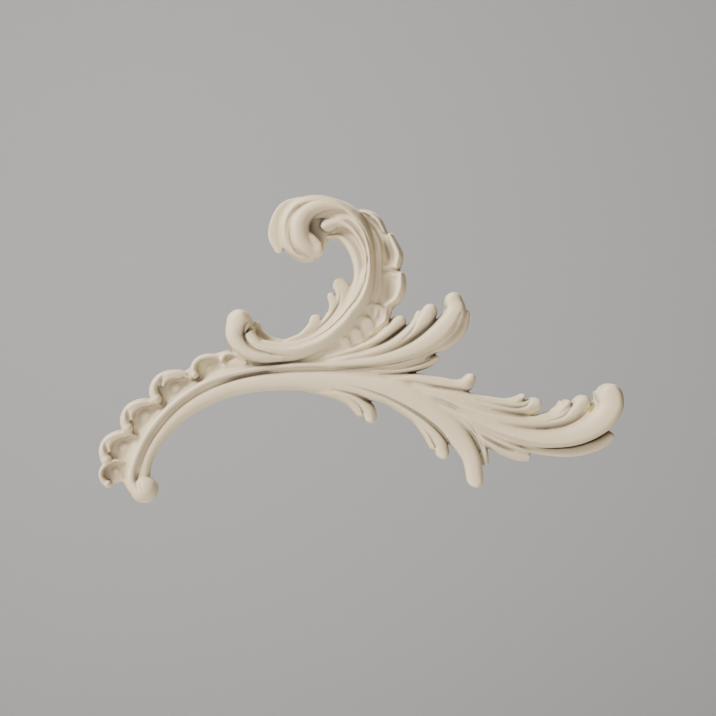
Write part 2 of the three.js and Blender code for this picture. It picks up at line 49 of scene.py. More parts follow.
# how the casting is worked, its lengths in metres
casting = {
    "wallDraft": 0.0003,
    "leastHalf": 0.4,  # share of its half width that the draft always leaves a form
    "behindBack": 0.0015,  # how far the forms reach behind the back before it is sawn flat
    "lineSamples": 400,
    "stationPitch": 0.0007,
    "leastStations": 6,
    "tipTurn": 86,  # degrees that a rounded tip closes through
    "tipSteps": 8,
    "sectionCuts": 16,
    "domeSides": 40,
    "domeSteps": 12,
    "voxel": 0.00032,
    "fillFrom": 0.0003,  # height over the back from which valleys are filled
    "fillRounds": 20,  # how far the valleys between the forms are filled
    "fillShare": 0.7,
    "softenRounds": 5,
    "softenShare": 0.5,
    "lastSoftening": 1,  # rounds once the marks are drawn
    "markSamples": 160,
    "markMargin": 1.6,
    "markFrom": 0.0025,  # height over the back from which the front takes marks
    "markFloor": 0.002,  # no mark goes deeper than this height over the back
    "sawReach": 1,
    "sawThickness": 0.02,
    "faces": 186000,
    "backFacing": 0.98,  # how squarely a face looks back to belong to the sawn side
}

# Every form is a line of places: across, up and half width in hundredths of the width,
# then the crest in hundredths of the depth, unless the form has one height in metres.
# lean moves the crest to the left (-) or right (+) of the line, fullness over 2 flattens it,
# edge is the side wall's share of the crest, and roundTail rounds the line's first end too.

# sections that several forms share
thinPlate = {"fullness": 4, "edge": 0.85}
flatGround = {"fullness": 4, "edge": 0.9}
crownedPlate = {"fullness": 3, "edge": 0.7}
softFold = {"fullness": 1.4, "edge": 0.6, "roundTail": True}
scallop = {"fullness": 3, "edge": 0.85, "roundTail": True}

arch = {
    "rail": {"spine": [
        [-1.71, 3.12, 0.57, 48], [-6.84, 3, 0.76, 58], [-13.5, 2.76, 0.84, 58],
        [-19.2, 2.28, 0.86, 57], [-24.9, 1.14, 0.89, 55], [-29.66, -0.57, 0.93, 55],
        [-33.84, -3.14, 0.95, 54], [-37.64, -6.56, 0.95, 54], [-40.68, -10.46, 0.95, 53],
        [-42.59, -14.45, 0.97, 52], [-43.54, -17.49, 1.1, 52], [-43.57, -19.68, 1.37, 53],
        [-42.68, -20.91, 1.52, 57],
    ]},
    "lastShell": {"spine": [
        [-21.67, 3.23, 0.46, 48], [-23.19, 4.56, 0.68, 49], [-24.71, 5.17, 0.72, 49],
        [-25.97, 4.83, 0.76, 50], [-26.31, 4.18, 0.76, 50],
    ]},
    "band": {"spine": [
        [-41.41, -19.01, 0.99, 39], [-40.84, -15.59, 1.03, 41], [-39.45, -12.55, 1.06, 43],
        [-37.07, -9.22, 1.22, 44], [-33.84, -6.08, 1.41, 45], [-29.66, -3.42, 1.6, 46],
        [-24.9, -1.52, 1.67, 48], [-19.2, -0.38, 1.83, 51], [-12.55, 0, 2.02, 54],
        [-5.89, -0.38, 2.38, 57], [0.76, -1.14, 2.57, 61], [7.41, -2.66, 2.76, 63],
        [13.12, -5.7, 2.76, 63], [17.4, -9.32, 2.47, 62], [20.95, -14.45, 1.84, 58],
        [21.83, -18.88, 1.63, 50],
    ], "lean": -0.2, "fullness": 2.2, "edge": 0.62},
    "bulbPlate": {"spine": [
        [-20.04, 11.22, 0.68], [-19.4, 9.14, 0.88], [-17.3, 7.7, 0.76], [-14.26, 7.3, 0.46],
    ], **thinPlate, "height": 0.003},
}

fan = {
    "firstLobe": {"spine": [
        [-10.46, 3.42, 0.29, 35], [-6.27, 4.37, 0.61, 54], [-2.09, 5.42, 0.91, 59],
        [2.09, 6.94, 1.06, 59], [5.13, 9.03, 1.25, 58], [7.15, 10.95, 1.52, 55],
    ], "lean": -0.2, "fullness": 2.2},
    "secondLobe": {"spine": [
        [-9.32, 3.23, 0.34, 39], [-4.94, 3.8, 0.68, 57], [0.76, 4.75, 1.03, 62],
        [5.89, 6.65, 1.33, 63], [9.7, 9.22, 1.6, 63], [12.36, 11.6, 1.79, 62],
        [13.12, 13.02, 1.58, 58],
    ], "lean": -0.15, "fullness": 2.4},
    "secondLobeSide": {"spine": [
        [3.61, 6.08, 0.46, 39], [5.51, 7.22, 0.68, 53], [7.91, 8.59, 0.84, 57],
        [10.3, 10.95, 0.87, 54], [11.03, 12.45, 0.87, 52],
    ]},
    "longLobe": {"spine": [
        [-12.36, 2.76, 0.48, 42], [-7.79, 2.93, 0.8, 58], [-2.09, 3.23, 0.95, 61],
        [4.56, 4.09, 1.43, 65], [10.65, 6.18, 1.9, 67], [15.68, 9.7, 2.24, 70],
        [18.06, 13.12, 2.05, 68], [17.74, 15.02, 1.79, 61],
    ], "lean": 0.05, "fullness": 2.6},
    "tail": {"spine": [
        [12.17, 5.13, 0.76], [16.16, 7.03, 1.14], [19.2, 9.89, 1.18], [20.11, 12.62, 0.84],
    ], "lean": 0.5, "fullness": 2, "edge": 0.5, "height": 0.0058},
    "underLobe": {"spine": [
        [-1.71, 1.71, 0.3, 32], [2.09, 1.75, 0.57, 48], [6.46, 1.94, 0.87, 50],
        [10.27, 2.51, 1.03, 48], [13.12, 3.5, 0.99, 42], [14.18, 4.07, 0.8, 39],
    ]},
    "underLobeFold": {"spine": [
        [1.33, 2.38, 0.3, 32], [4.56, 2.74, 0.53, 50], [8.37, 3.42, 0.68, 49],
        [11.22, 4.28, 0.65, 43], [13.5, 5.13, 0.49, 35],
    ]},
}

spray = {
    "hangingLobe": {"spine": [
        [-9.32, -1.52, 0.48, 35], [-6.27, -2.09, 0.65, 50], [-3.04, -2.95, 1.03, 54],
        [-0.38, -4.18, 1.33, 52], [1.44, -5.7, 1.44, 48], [1.81, -6.9, 1.33, 44],
    ]},
    "hangingLobeSide": {"spine": [
        [-10.08, -2, 0.38, 29], [-7.41, -2.4, 0.53, 46], [-4.37, -3.19, 0.68, 47],
        [-1.9, -4.49, 0.8, 44], [-0.27, -6.2, 0.84, 39],
    ]},
    "droppedLobe": {"spine": [
        [-2.09, -1.52, 0.48, 35], [1.14, -2.51, 0.65, 52], [4.56, -3.61, 0.95, 55],
        [8.65, -5.61, 1.22, 55], [12.45, -8.52, 1.41, 53], [14.83, -11.41, 1.6, 49],
        [15.59, -13.75, 1.37, 43],
    ], "lean": -0.1, "fullness": 2.2},
    "droppedLobeSide": {"spine": [
        [4.75, -4.18, 0.42, 29], [7.41, -5.7, 0.57, 46], [10.27, -7.53, 0.72, 47],
        [12.64, -10.27, 0.91, 45], [13.88, -12.28, 1.03, 39],
    ]},
    "crook": {"spine": [
        [0.19, 0, 0.29, 35], [3.23, 0.08, 0.57, 50], [6.65, 0.19, 0.76, 55], [10.27, 0.27, 1.1, 56],
        [15.02, -0.55, 1.22, 57], [18.06, -1.14, 1.29, 57], [19.96, -0.91, 1.44, 58],
        [20.76, 0.08, 1.25, 53],
    ], "lean": -0.2, "fullness": 2.3},
    "upperLobe": {"spine": [
        [5.13, -0.76, 0.29, 39], [8.56, -1.25, 0.57, 53], [12.17, -1.81, 0.84, 58],
        [16.92, -2.85, 1.33, 61], [22.62, -4.28, 1.56, 59], [27.38, -5.13, 1.63, 58],
        [31.18, -5.51, 1.71, 55], [32.97, -4.79, 1.52, 52],
    ], "lean": -0.3, "fullness": 2.4},
    "upperLobeSide": {"spine": [
        [14.26, -2.21, 0.23, 39], [16.92, -2.66, 0.42, 53], [19.58, -3.12, 0.61, 55],
        [24.52, -4.11, 0.8, 55], [28.33, -4.22, 0.84, 54], [30.04, -3.73, 0.84, 52],
        [30.7, -3.23, 0.68, 48],
    ]},
    "middleLobe": {"spine": [
        [6.65, -1.33, 0.29, 39], [11.22, -2.36, 0.57, 57], [15.59, -3.4, 0.84, 60],
        [20.72, -5.32, 1.33, 62], [26.43, -7.22, 1.52, 62], [32.13, -8.23, 1.56, 61],
        [36.88, -7.79, 1.56, 61], [40.49, -6.46, 1.83, 61], [42.13, -4.41, 1.6, 58],
    ], "lean": -0.2, "fullness": 2.4},
    "middleLobeSide": {"spine": [
        [21.48, -5.89, 0.23, 42], [24.14, -6.46, 0.46, 54], [27, -7.09, 0.61, 56],
        [32.13, -7.89, 0.8, 57], [35.93, -7.26, 0.95, 55], [38.17, -5.67, 0.95, 54],
        [39.16, -4.6, 0.93, 52],
    ]},
    "endCurl": {"spine": [
        [8.94, -2.28, 0.29, 39], [13.88, -4.11, 0.57, 58], [18.25, -6.08, 0.84, 62],
        [22.62, -7.98, 1.52, 63], [27.38, -9.79, 1.71, 66], [32.13, -10.84, 1.86, 70],
        [36.88, -11.03, 1.96, 73], [41.63, -9.98, 2.28, 77], [45.7, -7.51, 2.47, 83],
        [47.4, -4.75, 2.55, 85], [47.3, -3.23, 2.6, 83],
    ], "lean": 0.35, "fullness": 2.6},
    "tail": {"spine": [
        [29.28, -12.55, 0.95], [34.98, -13.21, 1.22], [40.68, -13.23, 1.5], [45.06, -12.02, 1.52],
        [47.03, -10.87, 1.29],
    ], "lean": 0.5, "fullness": 2, "edge": 0.5, "height": 0.006},
    "curlPlate": {"spine": [
        [45.06, -2.09, 0.68], [45.17, -3.8, 0.65], [43.92, -5.59, 0.65],
    ], **thinPlate, "height": 0.0062},
    "middlePlate": {"spine": [
        [38.4, -4.11, 0.53], [37.57, -5.44, 0.61], [35.55, -6.58, 0.61], [33.65, -7.15, 0.57],
    ], **thinPlate, "height": 0.0066},
    "lowerLobe": {"spine": [
        [13.12, -3.99, 0.23, 39], [16.54, -5.7, 0.46, 55], [19.58, -7.91, 0.65, 57],
        [22.24, -10.27, 0.95, 55], [24.9, -12.17, 1.08, 52], [27.95, -13.73, 1.1, 45],
        [30.42, -14.45, 1.14, 40], [31.37, -14.6, 1.03, 37],
    ]},
    "lowerLobeFold": {"spine": [
        [15.02, -4.56, 0.23, 39], [18.06, -6.39, 0.46, 54], [21.1, -8.59, 0.61, 54],
        [24.52, -10.65, 0.76, 52], [28.33, -12.36, 0.87, 48], [31.75, -13.38, 0.68, 40],
    ]},
    "spur": {"spine": [
        [16.16, -4.56, 0.19, 39], [18.82, -6.2, 0.38, 54], [20.91, -8.75, 0.53, 54],
        [22.24, -11.03, 0.65, 52], [23.37, -13.31, 0.87, 45], [23.76, -15.51, 0.8, 35],
    ]},
}

scroll = {
    "bulb": {"spine": [
        [-23.19, 11.03, 2.51, 81], [-23.8, 8.56, 1.98, 79], [-21.86, 5.7, 1.71, 77],
        [-18.82, 4.45, 1.41, 75], [-15.4, 4.18, 0.95, 65],
    ], "fullness": 2.2, "roundTail": True},
    "mainRidge": {"spine": [
        [-21.1, 6.84, 1.33, 72], [-18.06, 5.51, 1.67, 74], [-14.45, 4.87, 1.79, 74],
        [-11.41, 5.21, 1.79, 74], [-7.03, 6.92, 1.71, 76], [-3.16, 9.92, 1.71, 77],
        [-0.95, 12.74, 1.58, 79], [0.61, 15.02, 1.41, 81], [1.48, 17.3, 1.18, 82],
        [1.98, 19.96, 1.05, 83], [2.02, 22.81, 1.03, 83], [1.79, 25.67, 1.06, 84],
        [0.84, 28.52, 1.18, 85], [-0.72, 30.91, 1.25, 86], [-2.55, 32.59, 1.18, 87],
        [-4.75, 33.5, 1.1, 89], [-7.41, 33.69, 1.03, 90], [-9.7, 32.89, 0.95, 90],
    ], "lean": -0.62, "fullness": 1.6, "edge": 0.48},
    "outerStrand": {"spine": [
        [-2.09, 32.51, 0.65, 75], [-4.75, 33.65, 0.99, 83], [-8.75, 34.11, 1.22, 86],
        [-11.98, 33.31, 1.18, 84], [-13.97, 30.89, 1.14, 81], [-14.35, 27.57, 1.06, 77],
        [-13.5, 25.1, 0.99, 71], [-11.79, 23.57, 0.8, 65], [-10.27, 23.08, 0.57, 59],
        [-9.13, 23.04, 0.3, 54],
    ]},
    "upperBead": {"spine": [
        [-4.37, 30.51, 0.95, 79], [-2.28, 30.46, 0.72, 81], [-0.46, 29.01, 0.61, 83],
        [0.8, 26.81, 0.55, 85], [1.46, 24.14, 0.49, 85], [1.52, 21.29, 0.42, 83],
        [1.14, 18.63, 0.3, 80],
    ]},
    "innerBead": {"spine": [
        [-6.08, 29.54, 1.71, 79], [-4.56, 30, 1.41, 80], [-2.97, 29.54, 1.03, 81],
        [-1.52, 28.48, 0.82, 83], [-0.19, 26.62, 0.67, 83], [0.65, 24.33, 0.57, 83],
        [1.03, 21.48, 0.46, 83], [0.57, 18.44, 0.38, 81],
    ], "roundTail": True},
    "innerFace": {"spine": [
        [-6.46, 27.26, 0.49, 53], [-4.37, 27.49, 0.76, 58], [-2.47, 26.31, 1.06, 62],
        [-1.06, 24.33, 1.22, 66], [-0.27, 21.48, 1.18, 68], [-0.46, 18.63, 1.14, 68],
        [-1.44, 15.97, 1.03, 66], [-2.93, 13.5, 0.84, 61], [-4.94, 11.22, 0.65, 54],
    ], "lean": 0.28, "fullness": 2, "edge": 0.6},
    "broadStrand": {"spine": [
        [-1.71, 31.94, 0.57, 81], [-4.37, 32.85, 1.03, 88], [-7.41, 33, 1.41, 92],
        [-9.89, 32.02, 1.71, 95], [-11.41, 30.04, 1.94, 100], [-11.52, 28.14, 1.98, 98],
        [-10.99, 26.43, 1.94, 94], [-9.96, 25.29, 1.83, 89], [-8.75, 24.94, 1.71, 83],
    ], "lean": 0.16, "fullness": 2.3, "edge": 0.62},
    "noseEdge": {"spine": [
        [-10.08, 27.45, 1.03, 83], [-9.01, 26.62, 0.95, 83], [-8.1, 25.78, 0.87, 80],
    ], "fullness": 2.6, "edge": 0.8},
    "fingerGround": {"spine": [
        [-8.94, 31.56, 1.14, 59], [-5.89, 31.75, 1.03, 68], [-3.04, 31.25, 1.03, 74],
        [-0.95, 29.66, 1.03, 75], [0.38, 27.19, 0.95, 77], [1.14, 24.33, 0.76, 79],
        [1.22, 21.29, 0.57, 77],
    ], **flatGround},
    "tail": {"spine": [
        [-11.03, 34.45, 0.84], [-14.22, 33, 1.37], [-15.72, 30.32, 1.65], [-16.08, 27.38, 1.67],
        [-15.7, 25.19, 0.99],
    ], **thinPlate, "height": 0.003},
}

blade = {
    "tall": {"spine": [
        [-14.45, 7.22, 0.57], [-7.41, 9.32, 1.71], [-4.37, 12.74, 1.9], [-3.04, 15.78, 1.75],
        [-3.42, 17.38, 1.71], [-3.88, 18.06, 1.52],
    ], **crownedPlate, "height": 0.0046},
    "small": {"spine": [
        [-8.17, 9.51, 0.95], [-5.42, 12.36, 1.14], [-5.13, 14.64, 0.99], [-5.63, 15.91, 0.84],
    ], **crownedPlate, "height": 0.0046},
    "low": {"spine": [
        [-13.88, 7.13, 0.48], [-10.84, 8.46, 1.06], [-8.97, 10.36, 1.22], [-8.67, 11.33, 1.24],
    ], **crownedPlate, "height": 0.0046},
    "bladeRise": {"spine": [
        [-0.38, 19.77, 0.95, 57], [-1.71, 15.78, 1.33, 50], [-4.18, 12.17, 1.52, 46],
        [-7.41, 9.32, 1.33, 45], [-10.65, 7.6, 0.95, 43], [-13.69, 6.84, 0.57, 41],
    ], "lean": -0.9, "fullness": 1.3, "edge": 0.4},
}

petals = {
    "first": {"spine": [
        [-1.71, 31.84, 0.95, 35], [1.33, 30.61, 1.81, 43], [3.04, 28.33, 1.71, 43],
        [3.61, 26.62, 1.33, 39],
    ], **crownedPlate},
    "second": {"spine": [
        [3.04, 28.52, 1.33, 39], [4.66, 26.05, 2.09, 43], [5.38, 23.76, 2.4, 43],
        [5.44, 22.62, 2.36, 41],
    ], **crownedPlate},
    "third": {"spine": [
        [5.97, 19.01, 2.62, 43], [5.78, 17.11, 2.59, 43], [4.75, 15.11, 2.09, 40],
    ], "fullness": 3.5, "edge": 0.7, "roundTail": True},
    "fourth": {"spine": [
        [4.75, 15.21, 1.71, 39], [3.61, 12.36, 2.02, 40], [2.09, 10.65, 1.81, 39],
    ], **crownedPlate},
    "firstFold": {"spine": [
        [0, 32.21, 0.57, 45], [1.71, 31.6, 0.87, 55], [3.16, 30.38, 0.99, 58],
        [4.11, 28.78, 0.87, 54],
    ], "fullness": 1.4, "edge": 0.6},
    "edgeFold": {"spine": [
        [1.33, 30.04, 0.57, 46], [2.47, 27.95, 0.84, 53], [3.35, 25.48, 0.95, 57],
        [3.57, 22.81, 0.87, 56], [3.54, 20.34, 0.87, 53], [3.5, 17.49, 0.99, 55],
        [2.85, 15.4, 0.87, 53],
    ], "fullness": 1.5, "edge": 0.7},
    "secondFold": {"spine": [
        [5.63, 27.19, 0.95, 54], [6.46, 25.48, 1.06, 59], [7.11, 23.76, 1.1, 62],
        [6.84, 22.24, 1.14, 57],
    ], **softFold},
    "secondSill": {"spine": [
        [4.37, 21.75, 0.65, 45], [5.7, 21.67, 0.76, 48], [6.84, 21.94, 0.87, 51],
    ], "fullness": 1.5, "edge": 0.7, "roundTail": True},
    "thirdFold": {"spine": [
        [7.53, 19.58, 1.14, 57], [7.45, 17.49, 1.29, 61], [6.65, 15.59, 1.22, 58],
        [5.42, 14.64, 1.06, 53],
    ], **softFold},
    "thirdHead": {"spine": [
        [4.18, 20.04, 0.65, 45], [5.7, 20.08, 0.76, 48], [7.22, 19.85, 0.91, 53],
    ], "fullness": 1.5, "edge": 0.7, "roundTail": True},
    "fourthFold": {"spine": [
        [4.75, 12.83, 0.95, 54], [4.52, 11.41, 1.03, 57], [3.31, 10.27, 0.95, 53],
    ], **softFold},
    "frill": {"spine": [
        [3.23, 13.12, 2, 46], [1.71, 10.65, 1.9, 50], [-0.57, 8.48, 1.63, 51],
        [-3.42, 6.58, 1.22, 52], [-6.46, 5.32, 0.76, 54],
    ], "lean": -0.3, "fullness": 2.6, "edge": 0.8},
    "frillFirst": {"spine": [
        [2.02, 13.76, 1.18, 57], [3.54, 12.74, 1.48, 55], [4.3, 11.6, 1.14, 50],
    ], **scallop},
    "frillSecond": {"spine": [
        [0.15, 11.63, 1.1, 59], [1.48, 10.42, 1.29, 57], [2.09, 9.39, 0.95, 52],
    ], **scallop},
    "frillThird": {"spine": [
        [-1.83, 9.66, 1.03, 60], [-0.49, 8.52, 1.18, 57], [0.08, 7.72, 0.87, 53],
    ], **scallop},
    "frillFourth": {"spine": [
        [-3.8, 8.06, 0.91, 61], [-2.66, 7.03, 1.03, 58], [-2.21, 6.39, 0.76, 54],
    ], **scallop},
}

ground = {
    "underShells": {"spine": [
        [-44.03, -20.53, 0.84, 27], [-44.41, -19.2, 1.25, 30], [-44.11, -14.26, 1.71, 37],
        [-40.87, -9.51, 2.09, 40], [-35.74, -4.75, 2.28, 41], [-29.09, -0.19, 1.9, 43],
        [-23.76, 2.38, 1.9, 44], [-18.82, 3.04, 1.14, 43],
    ], "lean": 0.7, "fullness": 1.4, "edge": 0.5},
    "shellGround": {"spine": [
        [-48.78, -17.03, 0.95, 27], [-46.39, -16.35, 1.41, 28], [-44.87, -14.26, 2.4, 27],
        [-41.44, -8.75, 2.66, 27], [-35.93, -3.42, 2.66, 27], [-30.04, 1.03, 2.66, 29],
        [-26.62, 2.97, 2.43, 32], [-23, 3.92, 1.98, 32],
    ], **flatGround},
    "lastBowl": {"spine": [
        [-21.86, 2.85, 1.52, 43], [-23.95, 3.23, 1.52, 41], [-25.29, 3.04, 1.14, 39],
    ], "fullness": 2.4, "edge": 0.6},
    "underPetals": {"spine": [
        [-23, 3.04, 1.14, 39], [-11.6, 3.61, 1.33, 45], [-5.89, 5.13, 1.71, 48],
        [-2.09, 6.65, 2.66, 48], [2.09, 11.22, 3.04, 48], [4.18, 17.11, 2.28, 41],
        [3.61, 24.71, 1.9, 41], [1.33, 29.66, 1.33, 39],
    ], **flatGround},
    "archCorner": {"spine": [
        [-46.2, -18.63, 0.65, 28], [-45.13, -19.16, 0.53, 28], [-44.33, -20.19, 0.46, 27],
    ], **flatGround},
    "underFan": {"spine": [
        [-19.58, 2.51, 0.76, 44], [-11.6, 2.21, 1.03, 46], [-1.14, 2.36, 1.71, 46],
        [7.03, 3.42, 2.85, 44], [13.12, 8.37, 2.28, 39],
    ], **flatGround},
    "curlHollow": {"spine": [
        [-9.32, 31.56, 1.71, 48], [-8.17, 29.28, 2.09, 49], [-8.08, 27.19, 1.9, 48],
    ], **flatGround},
    "innerHollow": {"spine": [
        [-7.41, 28.52, 1.14, 43], [-5.13, 28.61, 1.14, 49], [-2.85, 27.85, 0.95, 53],
        [-1.33, 26.05, 0.84, 57], [-0.19, 23.57, 0.76, 62], [0.38, 20.91, 0.57, 65],
    ], **flatGround},
    "underRail": {"spine": [
        [-42.4, -20.15, 0.76, 40], [-42.28, -18.25, 0.87, 39], [-41.33, -14.83, 1.18, 39],
        [-39.09, -10.84, 1.22, 38], [-35.29, -6.08, 1.22, 37], [-29.66, -2.09, 1.22, 35],
        [-21.1, 0.95, 1.14, 34], [-11.6, 2.09, 1.14, 34],
    ], "fullness": 4, "edge": 0.95},
    "scrollBody": {"spine": [
        [-21.86, 8.75, 1.71, 67], [-20.34, 6.65, 1.71, 70], [-18.06, 5.7, 1.14, 71],
    ], **crownedPlate},
    "ridgeGround": {"spine": [
        [-18.82, 6.84, 0.95, 62], [-14.45, 6.35, 0.95, 65], [-11.03, 6.77, 0.95, 66],
        [-7.41, 8.37, 0.95, 66], [-3.99, 11.1, 0.95, 67], [-2.02, 13.5, 0.95, 68],
        [-0.65, 15.59, 0.95, 71], [0.27, 17.68, 0.87, 74], [0.84, 20.34, 0.76, 77],
    ], **flatGround},
    "voluteGround": {"spine": [
        [-11.03, 32.51, 1.52, 76], [-12.74, 30.42, 1.52, 76], [-13.19, 27.76, 1.44, 75],
        [-12.55, 25.36, 1.41, 71], [-10.84, 23.95, 1.14, 67], [-9.43, 23.69, 0.84, 62],
    ], **flatGround},
    "underScroll": {"spine": [
        [0.95, 26.24, 0.86, 55], [-0.19, 28.14, 1.24, 52], [-1.71, 29.66, 1.71, 45],
        [-3.99, 30.8, 1.52, 45], [-7.41, 31.75, 1.14, 42],
    ], **flatGround},
    "underSpray": {"spine": [
        [6.65, -0.29, 0.95, 43], [10.08, -1.22, 1.25, 48], [13.88, -2.59, 1.41, 50],
        [17.68, -4.75, 1.52, 49], [20.72, -8.37, 1.33, 44], [22.43, -12.36, 0.84, 35],
    ], **flatGround},
    "underCurl": {"spine": [
        [35.55, -9.32, 0.87, 52], [38.97, -8.67, 0.95, 53], [41.44, -7.34, 0.95, 53],
        [42.85, -6.16, 0.76, 50],
    ], **flatGround},
    "bulbHollow": {"spine": [
        [-21.14, 11.44, 0.61, 39], [-21.48, 10.46, 1.33, 45], [-21.1, 7.98, 1.52, 45],
        [-17.68, 5.89, 1.33, 45],
    ], **flatGround},
    "ridgeFoot": {"spine": [
        [1.33, 29.28, 0.57, 48], [2.28, 27.38, 0.61, 52], [2.93, 25.1, 0.61, 52],
        [3.16, 22.43, 0.61, 52], [3.12, 19.77, 0.61, 51], [2.66, 17.11, 0.61, 51],
        [1.83, 15.02, 0.68, 52], [0.49, 12.43, 0.76, 54], [-1.22, 10.19, 0.76, 56],
        [-3.16, 8.25, 0.72, 57], [-5.89, 6.46, 0.57, 57],
    ], "fullness": 3, "edge": 0.9},
}

